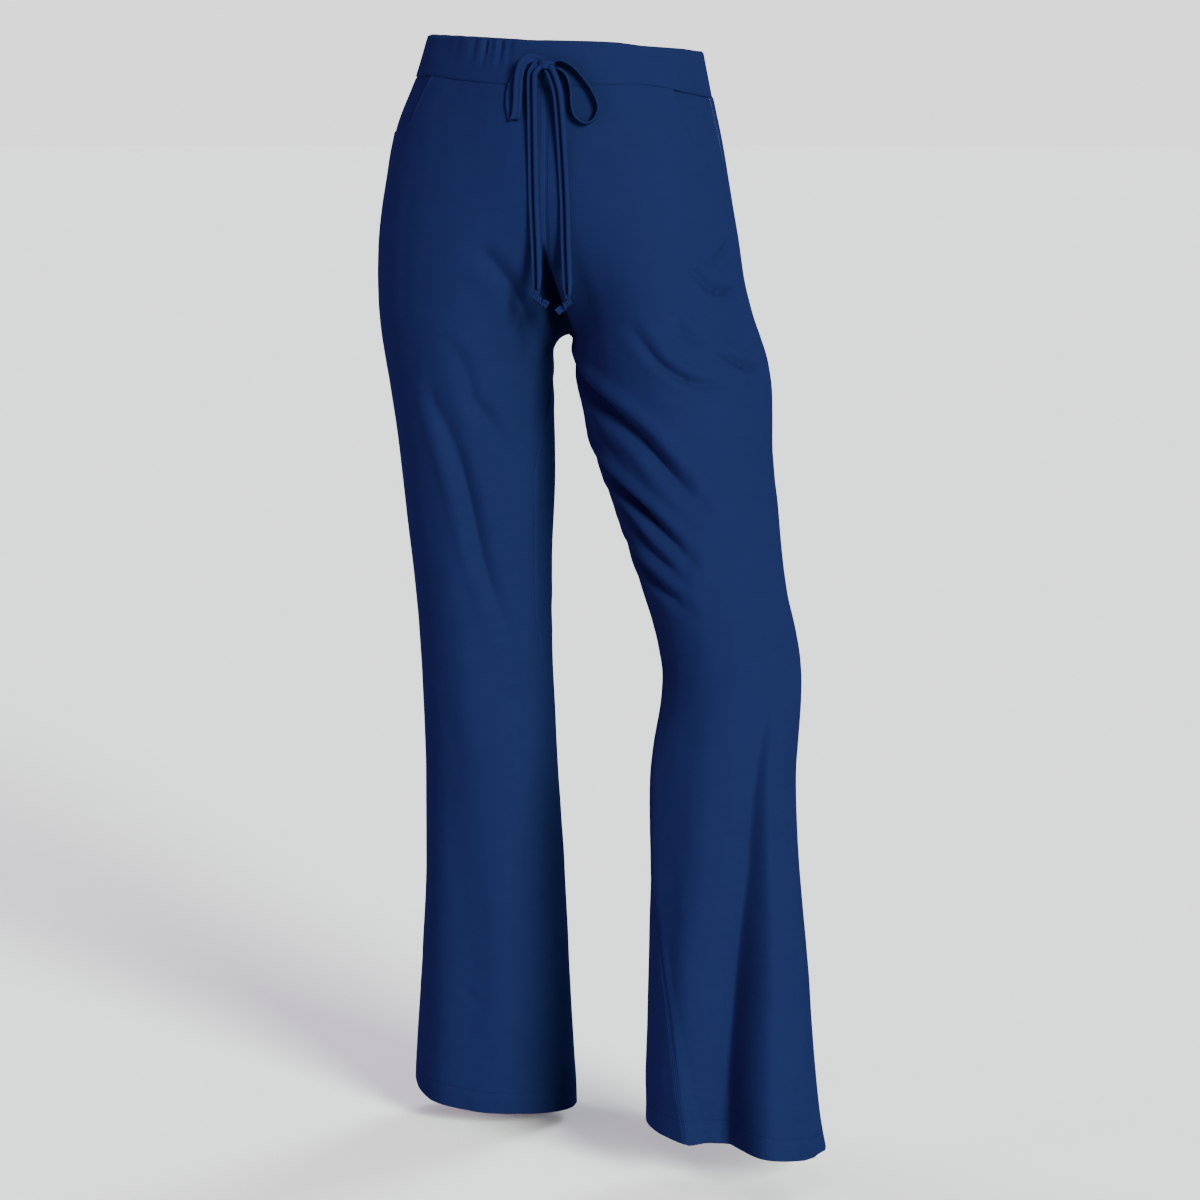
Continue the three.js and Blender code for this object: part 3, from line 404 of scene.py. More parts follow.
class TrouserSizes(bpy.types.PropertyGroup):
    """Sizes of the cloth and of its sewing"""

    cloth: bpy.props.FloatProperty(
        name="Cloth", description="Thickness of the poplin", default=0.7 * MM, min=0.3 * MM, max=1.2 * MM,
        subtype="DISTANCE", unit="LENGTH")
    cell: bpy.props.FloatProperty(
        name="Cell", description="Spacing of the points on the cloth", default=3.3 * MM, min=2.5 * MM,
        max=12 * MM, subtype="DISTANCE", unit="LENGTH")
    hem: bpy.props.FloatProperty(
        name="Hem", description="Depth of the turned-up hem", default=21 * MM, min=10 * MM, max=40 * MM,
        subtype="DISTANCE", unit="LENGTH")
    stitch: bpy.props.FloatProperty(
        name="Stitch", description="Length of one topstitch", default=2.6 * MM, min=1.5 * MM, max=5 * MM,
        subtype="DISTANCE", unit="LENGTH")
    strap: bpy.props.FloatProperty(
        name="Drawstring", description="Width of the folded strap", default=9 * MM, min=5 * MM, max=14 * MM,
        subtype="DISTANCE", unit="LENGTH")
    folds: bpy.props.FloatProperty(
        name="Folds", description="How deep the folds are, as a share of their listed depths", default=1.6,
        min=0, max=3, subtype="FACTOR")
    ripple: bpy.props.FloatProperty(
        name="Ripple", description="Depth of the soft unevenness of the cloth", default=1.3 * MM, min=0,
        max=3 * MM, subtype="DISTANCE", unit="LENGTH")


class TrouserColours(bpy.types.PropertyGroup):
    """Colours of the trousers and of the studio"""

    navy: bpy.props.FloatVectorProperty(
        name="Navy", description="Colour of the poplin", size=3, default=(0.0050, 0.0072, 0.0318),
        min=0, max=1, subtype="COLOR")
    thread: bpy.props.FloatVectorProperty(
        name="Thread", description="Colour of the sewing thread", size=3, default=(0.0150, 0.0400, 0.1150),
        min=0, max=1, subtype="COLOR")
    floor: bpy.props.FloatVectorProperty(
        name="Floor", description="Colour of the studio floor", size=3, default=(0.72, 0.72, 0.715),
        min=0, max=1, subtype="COLOR")


# Form of the cloth

def smooth_rows(table, at):
    """Values of a table's columns at fractional rows, on smooth curves through the rows."""
    rows = np.asarray(table, float)
    last = len(rows) - 1
    at = np.atleast_1d(np.asarray(at, float))
    i = np.clip(np.floor(at).astype(int), 0, last - 1)
    t = (at - i)[:, None]
    here, after = rows[i], rows[i + 1]
    before = np.where((i > 0)[:, None], rows[np.maximum(i - 1, 0)], 2 * here - after)
    beyond = np.where((i + 2 <= last)[:, None], rows[np.minimum(i + 2, last)], 2 * after - here)
    linear = after - before
    square = 2 * before - 5 * here + 4 * after - beyond
    cube = 3 * here - before - 3 * after + beyond
    return 0.5 * (2 * here + linear * t + square * t ** 2 + cube * t ** 3)


def smooth_step(value, low, high):
    """0 below low and 1 above high, with a smooth change between."""
    t = np.clip((value - low) / (high - low), 0, 1)
    return t * t * (3 - 2 * t)


def inner_end(side, face, at):
    """Inner end of a section and how far the cloth has turned under there, in degrees."""
    if at <= CROTCH:
        height, front, back, turn = smooth_rows(CENTRE, at)[0]
        return np.array([0, front if face == FRONT else back, height]), turn
    return smooth_rows(INSEAM[side], at - CROTCH)[0], 90.0


def quarter(start, end, leave, arrive, steps=40):
    """A quarter of a section that leaves and arrives along the given directions."""
    chord = (end - start)[:2]
    reach = HANDLE + HANDLE_TURN * (1 - abs(leave @ arrive))
    first, second = start.copy(), end.copy()
    first[:2] += leave * reach * abs(chord @ leave)
    second[:2] -= arrive * reach * abs(chord @ arrive)
    first[2] += (end[2] - start[2]) / 3
    second[2] -= (end[2] - start[2]) / 3
    t = np.linspace(0, 1, steps + 1)[:, None]
    u = 1 - t
    return u ** 3 * start + 3 * u ** 2 * t * first + 3 * u * t ** 2 * second + t ** 3 * end


def section(side, face, at):
    """Line of the cloth from the inner end over the fullest point to the side seam."""
    start, turn = inner_end(side, face, at)
    sx, sy, sz, fx, fy, fs, bx, by, bs = smooth_rows(SECTIONS[side], at)[0]
    x, y, slope = (fx, fy, fs) if face == FRONT else (bx, by, bs)
    seam = np.array([sx, sy, sz])
    full = np.array([x, y, start[2] + FULL_DROP * (sz - start[2])])
    turn = math.radians(turn)
    leave = np.array([side * math.cos(turn), face * math.sin(turn)])
    over = np.array([side, -face * slope])
    over = over / np.linalg.norm(over)
    arrive = np.array([0.0, -face])
    line = np.vstack([quarter(start, full, leave, over), quarter(full, seam, over, arrive)[1:]])
    line[:, 2] -= WAIST_TILT * line[:, 0] * smooth_step(line[:, 2], *TILT_FADE)
    return line


def lifted(line, side, face, at):
    """The front of the waist and the edges of the hems stand a little off the plain line."""
    line = line.copy()
    if at > HEM - 3:
        places, lift = np.array(HEM_LIFT[side, face]).T
        line[:, 2] += np.interp(line[:, 0], places, lift) * smooth_step(at, HEM - 3, HEM)
    elif face == FRONT:
        places, top, seam = np.array(WAIST_LIFT).T
        share = min(max(at, 0), BAND_SEAM)
        lift = np.interp(line[:, 0], places, top) * (1 - share) + np.interp(line[:, 0], places, seam) * share
        line[:, 2] += lift * smooth_step(line[:, 2], *LIFT_FADE)
    return line


def distances(line):
    """Distance of each point of a line from its start, measured along it."""
    steps = np.linalg.norm(np.diff(line, axis=0), axis=1)
    return np.concatenate([[0], np.cumsum(steps)])


def at_distances(line, wanted):
    """Points of a line at the wanted distances along it."""
    along = distances(line)
    return np.stack([np.interp(wanted, along, line[:, k]) for k in range(3)], axis=1)


def outward(grid, sign):
    """Outward directions of a grid of points."""
    across = np.gradient(grid, axis=1)
    down = np.gradient(grid, axis=0)
    normal = np.cross(across, down) * sign
    return normal / np.maximum(np.linalg.norm(normal, axis=2, keepdims=True), 1e-9)


def table_rows(first, last, cell):
    """Fractional table rows about one cell apart down the side seam."""
    rows = []
    for i in range(first, last):
        drop = abs(SECTIONS[LEFT][i + 1][2] - SECTIONS[LEFT][i][2])
        count = max(2, round(drop / cell))
        rows.extend(i + k / count for k in range(count))
    return rows + [float(last)]


# Distances from a seam at which the cloth has points, before they are evenly spaced.
SEAM_POINTS = (0.0, 0.5, 1.1, 1.9, 3.0, 4.6, 6.6)


class Panel:
    """One leg panel as a grid of points from its inner seam to its side seam."""

    def __init__(self, side, face, cell):
        self.side, self.face, self.sign = side, face, side * face
        self.rows = table_rows(BAND_SEAM, HEM, cell)
        self.slips = []
        lines = [self.seam_line(at) for at in self.rows]
        lengths = np.array([distances(line)[-1] for line, _, _ in lines])
        middle = round((lengths.max() - 2 * SEAM_POINTS[-1]) / cell)
        grid, across = [], []
        for line, start, whole in lines:
            length = distances(line)[-1]
            inner = np.array(SEAM_POINTS)
            between = np.linspace(inner[-1], length - inner[-1], middle + 1)[1:-1]
            wanted = np.concatenate([inner, between, (length - inner)[::-1]])
            grid.append(at_distances(line, wanted))
            across.append((wanted + start) / whole)
        self.points = np.array(grid)
        self.across = np.array(across)
        self.whole = np.array([whole for _, _, whole in lines])
        self.hang_over()
        self.from_inner = np.array([distances(row) for row in self.points])
        self.normals = outward(self.points, self.sign)

    def hang_over(self):
        """Smooths the panel down its length where it hangs over the crotch, but not at the inner seam."""
        heights = self.points[:, :, 2]
        low, low_full, high_full, high = HANG_OVER
        share = smooth_step(heights, low, low_full) * (1 - smooth_step(heights, high_full, high))
        share = share * smooth_step(self.across, 0.0, HANG_REACH)
        points = self.points
        for _ in range(HANG_ROUNDS):
            moved = points.copy()
            moved[1:-1] = points[1:-1] / 2 + (points[:-2] + points[2:]) / 4
            points = points + (moved - points) * share[:, :, None]
        self.points = points

    def seam_line(self, at):
        """Section between the places that the seams have turned to, its start and the whole length."""
        front, back = (lifted(section(self.side, face, at), self.side, face, at) for face in (FRONT, BACK))
        turn = np.interp(-front[0, 2], *zip(*[(-z, d) for z, d in SEAM_TURN[self.side]]))
        slip = SIDE_SLIP[self.side] * (1 - float(smooth_step(front[-1, 2], *SLIP_FADE)))
        line = front if self.face == FRONT else back
        whole = distances(line)[-1]
        start = 0.0
        if turn >= TURN_GAP and at > CROTCH:
            along = distances(front)
            seam = at_distances(front, [turn])
            if self.face == FRONT:
                line, start = np.vstack([seam, front[along > turn + TURN_GAP]]), turn
            else:
                line, start = np.vstack([seam, front[along < turn - TURN_GAP][::-1], line[1:]]), -turn
        if slip >= TURN_GAP:
            along = distances(back[::-1])
            seam = at_distances(back[::-1], [slip])
            if self.face == FRONT:
                between = (along > SLIP_GAP) & (along < slip - SLIP_GAP)
                line = np.vstack([line, back[::-1][between], seam])
            else:
                along = distances(line)
                line = np.vstack([line[:-1][along[:-1] < along[-1] - slip - SLIP_GAP], seam])
        self.slips.append(slip)
        return line, start, whole


def flank_offset(panel, flanks):
    """How far the turned flanks lift the cloth on their outer side and sink it on their inner side."""
    offset = np.zeros(panel.across.shape)
    heights = panel.points[:, :, 2]
    for places, rise, reach in flanks:
        table = np.array(places)[::-1]
        middle, half, share = (np.interp(heights, table[:, 0], table[:, k]) for k in (1, 2, 3))
        ds = (panel.across - middle) * panel.whole[:, None]
        up = smooth_step(ds, -half, half)
        down = 1 - smooth_step(ds, half, half + reach)
        sunk = (1 - up) * smooth_step(ds, -half - reach, -half)
        offset += rise * share * (FLANK_LIFT * up * down - (1 - FLANK_LIFT) * sunk)
    return offset


def fold_offset(sideways, scale, heights, folds):
    """How far folds move points outwards, by the points' places sideways (times the scale) and heights."""
    offset = np.zeros(heights.shape)
    for places, width, depth, sharp, above, below in folds:
        line = smooth_rows(places, np.linspace(0, len(places) - 1, FOLD_STEPS + 1))
        nearest = np.full(heights.shape, np.inf)
        along = np.zeros(heights.shape)
        signed = np.zeros(heights.shape)
        for k, ((s, z), (next_s, next_z)) in enumerate(zip(line[:-1], line[1:])):
            ds = (sideways - s) * scale
            dz = heights - z
            step_s, step_z = (next_s - s) * scale, next_z - z
            part = np.clip((ds * step_s + dz * step_z) / (step_s ** 2 + step_z ** 2), 0, 1)
            away = np.hypot(ds - part * step_s, dz - part * step_z)
            closer = away < nearest
            nearest = np.where(closer, away, nearest)
            along = np.where(closer, (k + part) / FOLD_STEPS, along)
            signed = np.where(closer, away * np.sign(step_s * dz - step_z * ds), signed)
        taper = np.sin(np.pi * np.clip(along, 0.02, 0.98)) ** FOLD_ENDS
        taper = taper * np.exp(-np.maximum(nearest - FOLD_REACH * width, 0) / width)
        trough = np.exp(-np.abs(nearest / width) ** sharp)
        upper = above * np.exp(-((signed - RIDGE_PLACE * width) / (RIDGE_WIDTH * width)) ** 2)
        lower = below * np.exp(-((signed + RIDGE_PLACE * width) / (RIDGE_WIDTH * width)) ** 2)
        offset += depth * taper * (upper + lower - trough)
    return offset * bpy.context.scene.trouser_sizes.folds


def ripple_offset(points, depth):
    """Soft unevenness of hanging cloth, the same on both sides of a seam."""
    shifts = np.eye(3) * RIPPLE_SEED
    offset = np.zeros(points.shape[:2])
    for i, row in enumerate(points):
        for j, (x, y, z) in enumerate(row):
            for (round_leg, down, share), shift in zip(RIPPLES, shifts):
                place = Vector((x / round_leg + shift[0], y / round_leg + shift[1], z / down + shift[2]))
                offset[i, j] += share * noise.noise(place)
    return offset * depth


def seam_dip(distance, dip, reach):
    """How far cloth rolls in at a distance from a sewn seam."""
    return -dip * np.exp(-(distance / reach) ** DIP_SHAPE)


def drawn_in(points):
    """The front panels' points with the cleft between the thighs drawn in towards the crotch."""
    drop = -points[:, :, 2]
    half = np.interp(drop, CLEFT_DROPS, (CLEFT_NARROW, CLEFT_WIDE))
    share = CLEFT_SHARE * smooth_step(drop, *CLEFT_IN) * (1 - smooth_step(drop, *CLEFT_OUT))
    share = share * np.exp(-((points[:, :, 0] - np.interp(drop, *CLEFT_OFF)) / half) ** 2)
    points[:, :, 1] += share * np.maximum(CLEFT_BACK - points[:, :, 1], 0)
    return points


def dressed(panel, sizes):
    """Points of a panel with its folds, unevenness and sewn edges."""
    folds = FRONT_FOLDS if panel.face == FRONT else BACK_FOLDS
    from_seam = np.minimum(panel.from_inner, panel.from_inner[:, -1:] - panel.from_inner)
    heights = panel.points[:, :, 2]
    below_band = heights[:1] - heights
    offset = fold_offset(panel.across, panel.whole[:, None], heights, folds[panel.side])
    offset += flank_offset(panel, FLANKS.get((panel.side, panel.face), []))
    if panel.face == FRONT:
        seen = smooth_step(-panel.normals[:, :, 1], *FACING_FORWARDS)
        offset += seen * fold_offset(panel.points[:, :, 0], 1.0, heights, SEEN_FOLDS[panel.side])
    offset *= smooth_step(from_seam, 0, FOLD_HOLD)
    offset += ripple_offset(panel.points, sizes.ripple / MM)
    offset += seam_dip(from_seam, SEAM_DIP, SEAM_REACH)
    offset += seam_dip(below_band, BAND_DIP, BAND_REACH)
    points = panel.points + panel.normals * offset[:, :, None]
    return drawn_in(points) if panel.face == FRONT else points


# Mesh making

# Edges that turn by less than this, in degrees, are shaded smooth.
SMOOTH_ANGLE = 50


def select_only(obj):
    """Selects one object alone and makes it the active one."""
    bpy.ops.object.select_all(action="DESELECT")
    obj.select_set(True)
    bpy.context.view_layer.objects.active = obj


def grid_piece(name, points, sign, uv, seams=None):
    """A sheet of cells added as a grid and laid on the points, with its cloth map in metres."""
    rows, columns = points.shape[:2]
    bpy.ops.object.select_all(action="DESELECT")
    bpy.ops.mesh.primitive_grid_add(x_subdivisions=columns - 1, y_subdivisions=rows - 1, size=1)
    obj = bpy.context.active_object
    obj.name = name
    obj.data.name = name
    mesh = obj.data
    if len(mesh.vertices) != rows * columns:
        raise RuntimeError(f"{name}: the grid has {len(mesh.vertices)} points, not {rows * columns}")
    mesh.vertices.foreach_set("co", (points * MM).reshape(-1))
    layer = mesh.uv_layers[0]
    layer.name = "cloth"
    corners = np.empty(len(mesh.loops), int)
    mesh.loops.foreach_get("vertex_index", corners)
    flat = uv.reshape(-1, 2)[corners] * MM
    layer.data.foreach_set("uv", flat.reshape(-1))
    if seams is not None:
        attribute = mesh.attributes.new("seams", "FLOAT_VECTOR", "POINT")
        attribute.data.foreach_set("vector", (seams * MM).reshape(-1))
    if sign > 0:
        mesh.flip_normals()
    mesh.update()
    return obj


def thicken(obj, thickness):
    """Gives a sheet its thickness inwards and rounds the shading."""
    select_only(obj)
    solid = obj.modifiers.new("Thickness", "SOLIDIFY")
    solid.thickness = thickness
    solid.offset = -1
    solid.use_even_offset = False
    bpy.ops.object.modifier_apply(modifier=solid.name)
    bpy.ops.object.shade_smooth_by_angle(angle=math.radians(SMOOTH_ANGLE))


def finish_piece(obj, finish):
    """Gives a piece its only material and its body."""
    obj.data.materials.clear()
    obj.data.materials.append(finish)
    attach(obj, "root")


# Materials

class Value:
    """A socket of a node, so that shader maths is written as plain expressions."""

    def __init__(self, shader, socket):
        self.shader, self.socket = shader, socket

    def math(self, operation, *others, clamp=False):
        """A Math node on this socket and others."""
        inputs = {k + 1: other for k, other in enumerate(others)}
        return self.shader.node("Math", {"operation": operation, "use_clamp": clamp}, {0: self, **inputs})

    def __add__(self, other):
        return self.math("ADD", other)

    __radd__ = __add__

    def __sub__(self, other):
        return self.math("SUBTRACT", other)

    def __rsub__(self, other):
        return self.shader.node("Math", {"operation": "SUBTRACT"}, {0: other, 1: self})

    def __mul__(self, other):
        return self.math("MULTIPLY", other)

    __rmul__ = __mul__

    def fade(self, low, high):
        """0 below low and 1 above high, with a smooth change between."""
        sockets = {"Value": self, "From Min": low, "From Max": high, "To Min": 0.0, "To Max": 1.0}
        return self.shader.node("MapRange", {"interpolation_type": "SMOOTHSTEP"}, sockets, "Result")


class Shader:
    """A node tree, of a new material unless one is given."""

    def __init__(self, name, tree=None):
        if tree is None:
            self.material = bpy.data.materials.new(name)
            self.material.use_nodes = True
            tree = self.material.node_tree
            self.cloth = tree.nodes["Principled BSDF"]
        self.tree = tree

    def node(self, kind, settings=None, sockets=None, output=0):
        """Any node: its type, its settings, and the values or links of its sockets."""
        node = self.tree.nodes.new("ShaderNode" + kind)
        for name, setting in (settings or {}).items():
            setattr(node, name, setting)
        for name, value in (sockets or {}).items():
            self.set(node.inputs[name], value)
        return Value(self, node.outputs[output])

    def set(self, socket, value):
        """Links a value to a socket, or writes a constant on it."""
        if isinstance(value, Value):
            self.tree.links.new(value.socket, socket)
        else:
            socket.default_value = value

    def finish(self, **sockets):
        """Fills the cloth's own sockets, named with underscores, and returns the material."""
        for name, value in sockets.items():
            self.set(self.cloth.inputs[name.replace("_", " ")], value)
        return self.material

    def split(self, vector):
        """The three parts of a vector."""
        node = self.node("SeparateXYZ", {}, {0: vector})
        outputs = node.socket.node.outputs
        return [Value(self, outputs[k]) for k in range(3)]

    def join(self, x, y, z=0.0):
        """A vector of three parts."""
        return self.node("CombineXYZ", {}, {0: x, 1: y, 2: z})

    def noise(self, vector, scale, detail=2.0, roughness=0.5):
        """Cloudy values from 0 to 1, with patches about one part in the scale of a metre wide."""
        sockets = {"Vector": vector, "Scale": scale, "Detail": detail, "Roughness": roughness}
        return self.node("TexNoise", {"noise_dimensions": "3D"}, sockets, "Fac")

    def mix(self, factor, first, second):
        """A colour between two colours."""
        return self.node("Mix", {"data_type": "RGBA"}, {0: factor, 6: first, 7: second}, 2)

    def bump(self, height, distance, strength):
        """Fine relief, as a normal."""
        sockets = {"Height": height, "Distance": distance, "Strength": strength}
        return self.node("Bump", {}, sockets)


def shade(colour, factor):
    """A colour made darker or lighter by a factor, with its opacity."""
    return tuple(min(channel * factor, 1.0) for channel in colour) + (1.0,)


# Poplin, in metres: pitch of its warp and weft, how high one unit of its relief is, and how strong it is.
WARP_PITCH, WEFT_PITCH = 0.0006, 0.0007
RELIEF_HIGH, RELIEF_STRONG = 0.0006, 0.55

# Slubs and puckers per metre, across the cloth and down it.
WARP_SLUBS, WEFT_SLUBS = (1400, 34), (30, 1100)
SEAM_PUCKERS, HEM_PUCKERS = (60, 170), (150, 50)

# Height of the middle of the hem's puckers above its edge.
HEM_PUCKERED = 0.014

# Darkest and lightest tone, as shares of the navy, and how rough the cloth is.
NAVY_DARK, NAVY_LIGHT, MATT = 0.72, 1.32, 0.74


def poplin(name, navy, seams=True, strap=False):
    """Fine plain weave with slubs, puckered beside its seams and a little worn along their edges."""
    shader = Shader(name)
    across, down, _ = shader.split(shader.node("UVMap", {"uv_map": "cloth"}))
    flat = shader.join(across, down)

    def streaks(counts):
        """Noise with about so many streaks per metre across the cloth and down it."""
        return shader.noise(shader.join(across * counts[0], down * counts[1]), 1.0, 1.0)

    def line_at(distance, middle, core, reach):
        """1 at the middle distance from a seam or edge, and 0 from the reach on."""
        return 1.0 - (distance - middle).math("ABSOLUTE").fade(core, reach)

    warp = (across * (2 * math.pi / WARP_PITCH)).math("SINE")
    weft = (down * (2 * math.pi / WEFT_PITCH)).math("SINE")
    slub = (streaks(WARP_SLUBS) + streaks(WEFT_SLUBS)) * 0.5
    soft = shader.noise(flat, 42.0, 3.0, 0.55)
    broad = shader.noise(flat, 9.0)
    height = warp * weft * 0.05 + slub * 0.16 + soft * 1.1
    wear = (soft - 0.45) * 0.12 + (slub - 0.5) * 0.55 + (broad - 0.5) * 0.2
    if seams:
        inner, side, hem = shader.split(shader.node("Attribute", {"attribute_name": "seams"}, {}, "Vector"))
        edge = inner.math("MINIMUM", side)
        height = height + streaks(SEAM_PUCKERS) * (1.0 - edge.fade(0.001, 0.012)) * 1.5
        height = height + streaks(HEM_PUCKERS) * line_at(hem, HEM_PUCKERED, 0.001, 0.013) * 2.0
        height = height - line_at(edge, SEAM_STITCH * MM, 0.0002, 0.0011)
        sewn_at = bpy.context.scene.trouser_sizes.hem - HEM_STITCH * MM
        height = height - line_at(hem, sewn_at, 0.0002, 0.0012) * 1.4
        wear = wear + (1.0 - edge.fade(0.0008, 0.0030)) * 0.25
    if strap:
        height = height * 0.6
    tone = (wear + 0.5).math("ADD", 0.0, clamp=True)
    colour = shader.mix(tone, shade(navy, NAVY_DARK), shade(navy, NAVY_LIGHT))
    rough = MATT + (slub - 0.5) * 0.3
    normal = shader.bump(height, RELIEF_HIGH, RELIEF_STRONG)
    return shader.finish(Base_Color=colour, Roughness=rough, Normal=normal, Specular_IOR_Level=0.0)


def thread(name, colour):
    """Twisted sewing thread."""
    shader = Shader(name)
    place = shader.node("TexCoord", {}, {}, "Object")
    twist = shader.noise(place, 2600.0, 1.0)
    tone = shader.mix(twist, shade(colour, 0.7), shade(colour, 1.5))
    normal = shader.bump(twist, 0.0002, 0.6)
    rough = 0.55 + twist * 0.15
    return shader.finish(Base_Color=tone, Roughness=rough, Normal=normal, Specular_IOR_Level=0.2)


def studio_floor(name, colour):
    """Pale, matt and almost even paint."""
    shader = Shader(name)
    place = shader.node("TexCoord", {}, {}, "Object")
    tone = shader.mix(shader.noise(place, 1.2, 3.0), shade(colour, 0.985), shade(colour, 1.015))
    return shader.finish(Base_Color=tone, Roughness=0.85, Specular_IOR_Level=0.0)


# Each finish: what makes it, its colour among the panel's colours, and its options.
FINISHES = {
    "panel poplin": (poplin, "navy", {}),
    "band poplin": (poplin, "navy", {"seams": False}),
    "drawstring poplin": (poplin, "navy", {"seams": False, "strap": True}),
    "sewing thread": (thread, "thread", {}),
    "studio floor": (studio_floor, "floor", {}),
}
MATERIALS = {}


def material(kind):
    """The finish of that name, made once."""
    if kind not in MATERIALS:
        maker, colour, options = FINISHES[kind]
        MATERIALS[kind] = maker(kind, getattr(bpy.context.scene.trouser_colours, colour), **options)
    return MATERIALS[kind]


# Leg panels

# Radius of the fold at a hem's edge, and the turns at which it has points.
HEM_ROLL = 0.95
HEM_TURNS = (30, 65, 90, 115, 150, 180)
PANELS = {}


def panel_of(side, face):
    """A panel with its dressed points. All four are worked out together, once, so that their seams meet."""
    if not PANELS:
        sizes = bpy.context.scene.trouser_sizes
        for each in PANEL_ORDER:
            panel = Panel(*each, sizes.cell / MM)
            panel.dressed = dressed(panel, sizes)
            PANELS[each] = panel
        join_seams()
    return PANELS[side, face]


def join_seams():
    """Moves the two edges of each seam onto one line."""
    rows = np.array(PANELS[RIGHT, FRONT].rows)
    above, below = rows <= CROTCH, rows >= CROTCH
    for side in (RIGHT, LEFT):
        front, back = PANELS[side, FRONT].dressed, PANELS[side, BACK].dressed
        middle = (front[:, -1] + back[:, -1]) / 2
        front[:, -1], back[:, -1] = middle, middle
        middle = (front[below, 0] + back[below, 0]) / 2
        front[below, 0], back[below, 0] = middle, middle
    for face in (FRONT, BACK):
        right, left = PANELS[RIGHT, face].dressed, PANELS[LEFT, face].dressed
        middle = (right[above, 0] + left[above, 0]) / 2
        right[above, 0], left[above, 0] = middle, middle


def with_hem(points, sign, depth):
    """Adds the rolled edge and the turned-up allowance to the rows of a panel."""
    normal = outward(points, sign)
    edge, out = points[-1], normal[-1]
    down = points[-1] - points[-3]
    down = down / np.linalg.norm(down, axis=1, keepdims=True)
    rows = []
    for degrees in HEM_TURNS:
        turn = math.radians(degrees)
        rows.append(edge + HEM_ROLL * (out * (math.cos(turn) - 1) + down * math.sin(turn)))
    back = len(points) - 1
    height = 0.0
    while height < depth and back > 1:
        back -= 1
        height += float(np.linalg.norm(points[back + 1] - points[back], axis=1).mean())
        rows.append(points[back] - normal[back] * 2 * HEM_ROLL)
    return np.concatenate([points, np.array(rows)])


def pocket_line():
    """Pocket mouth as distance forward of the side seam and drop below the band."""
    corner = np.linspace(0, 1, 9)[1:, None]
    start = np.array([POCKET_FOOT, POCKET_DEEP - POCKET_CORNER])
    bend = np.array([POCKET_FOOT - 1, POCKET_DEEP])
    end = np.array([POCKET_FOOT - POCKET_CORNER, POCKET_DEEP + 2])
    curve = (1 - corner) ** 2 * start + 2 * corner * (1 - corner) * bend + corner ** 2 * end
    top = np.linspace((POCKET_WIDE, 0), start, 16)
    foot = np.linspace(end, (0, POCKET_SIDE), 20)[1:]
    return np.vstack([top, curve, foot, [(-POCKET_BEHIND, POCKET_SIDE + 2)]])


def grid_value(array, i, j):
    """Value of a grid between its points."""
    i = min(max(i, 0), array.shape[0] - 1.001)
    j = min(max(j, 0), array.shape[1] - 1.001)
    a, b = int(i), int(j)
    s, t = i - a, j - b
    low = array[a, b] * (1 - t) + array[a, b + 1] * t
    high = array[a + 1, b] * (1 - t) + array[a + 1, b + 1] * t
    return low * (1 - s) + high * s


class PocketMap:
    """Turns places on a front panel, forward of the side seam and below the band, into grid places."""

    def __init__(self, panel):
        self.forward = panel.from_inner[:, -1:] - panel.from_inner - np.array(panel.slips)[:, None]
        down = distances(panel.points[:, -1])
        self.drop = np.repeat(down[:, None], self.forward.shape[1], axis=1)

    def place(self, forward, drop):
        """Grid place, as fractional row and column."""
        i = np.interp(drop, self.drop[:, 0], np.arange(len(self.drop)))
        row = self.forward[int(round(i))]
        j = np.interp(-forward, -row, np.arange(len(row)))
        return i, j


def inside(line, forward, drop):
    """Whether a place lies in the pocket mouth, between its line, the band and the side seam."""
    if forward > POCKET_WIDE or drop > POCKET_SIDE + 3:
        return False
    edge = np.interp(forward, line[::-1, 0], line[::-1, 1])
    if forward <= POCKET_FOOT - POCKET_CORNER:
        return drop < edge
    limit = np.interp(drop, line[:, 1], line[:, 0])
    return forward < limit


def leg_piece(side, face, sizes):
    """One leg panel with its hem turned up and, on a front panel, its pocket mouth cut."""
    panel = panel_of(side, face)
    points = with_hem(panel.dressed, panel.sign, sizes.hem / MM)
    rows, columns = points.shape[:2]
    extra = rows - panel.points.shape[0]
    from_inner = np.vstack([panel.from_inner, np.repeat(panel.from_inner[-1:], extra, axis=0)])
    down = distances(points.mean(axis=1))
    uv = np.stack([from_inner, np.repeat(down[:, None], columns, axis=1)], axis=2)
    to_side = from_inner[:, -1:] - from_inner
    hem = np.abs(down[panel.points.shape[0] - 1] - down)[:, None].repeat(columns, axis=1)
    seams = np.stack([from_inner, to_side, hem], axis=2)
    obj = grid_piece(f"{FACE_NAMES[face]}_leg_{SIDE_NAMES[side]}", points, panel.sign, uv, seams)
    if face == FRONT:
        cut_pocket(obj, panel, points)
    thicken(obj, sizes.cloth)
    finish_piece(obj, material("panel poplin"))
    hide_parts(f"{FACE_NAMES[face]}_{SIDE_NAMES[side]}")


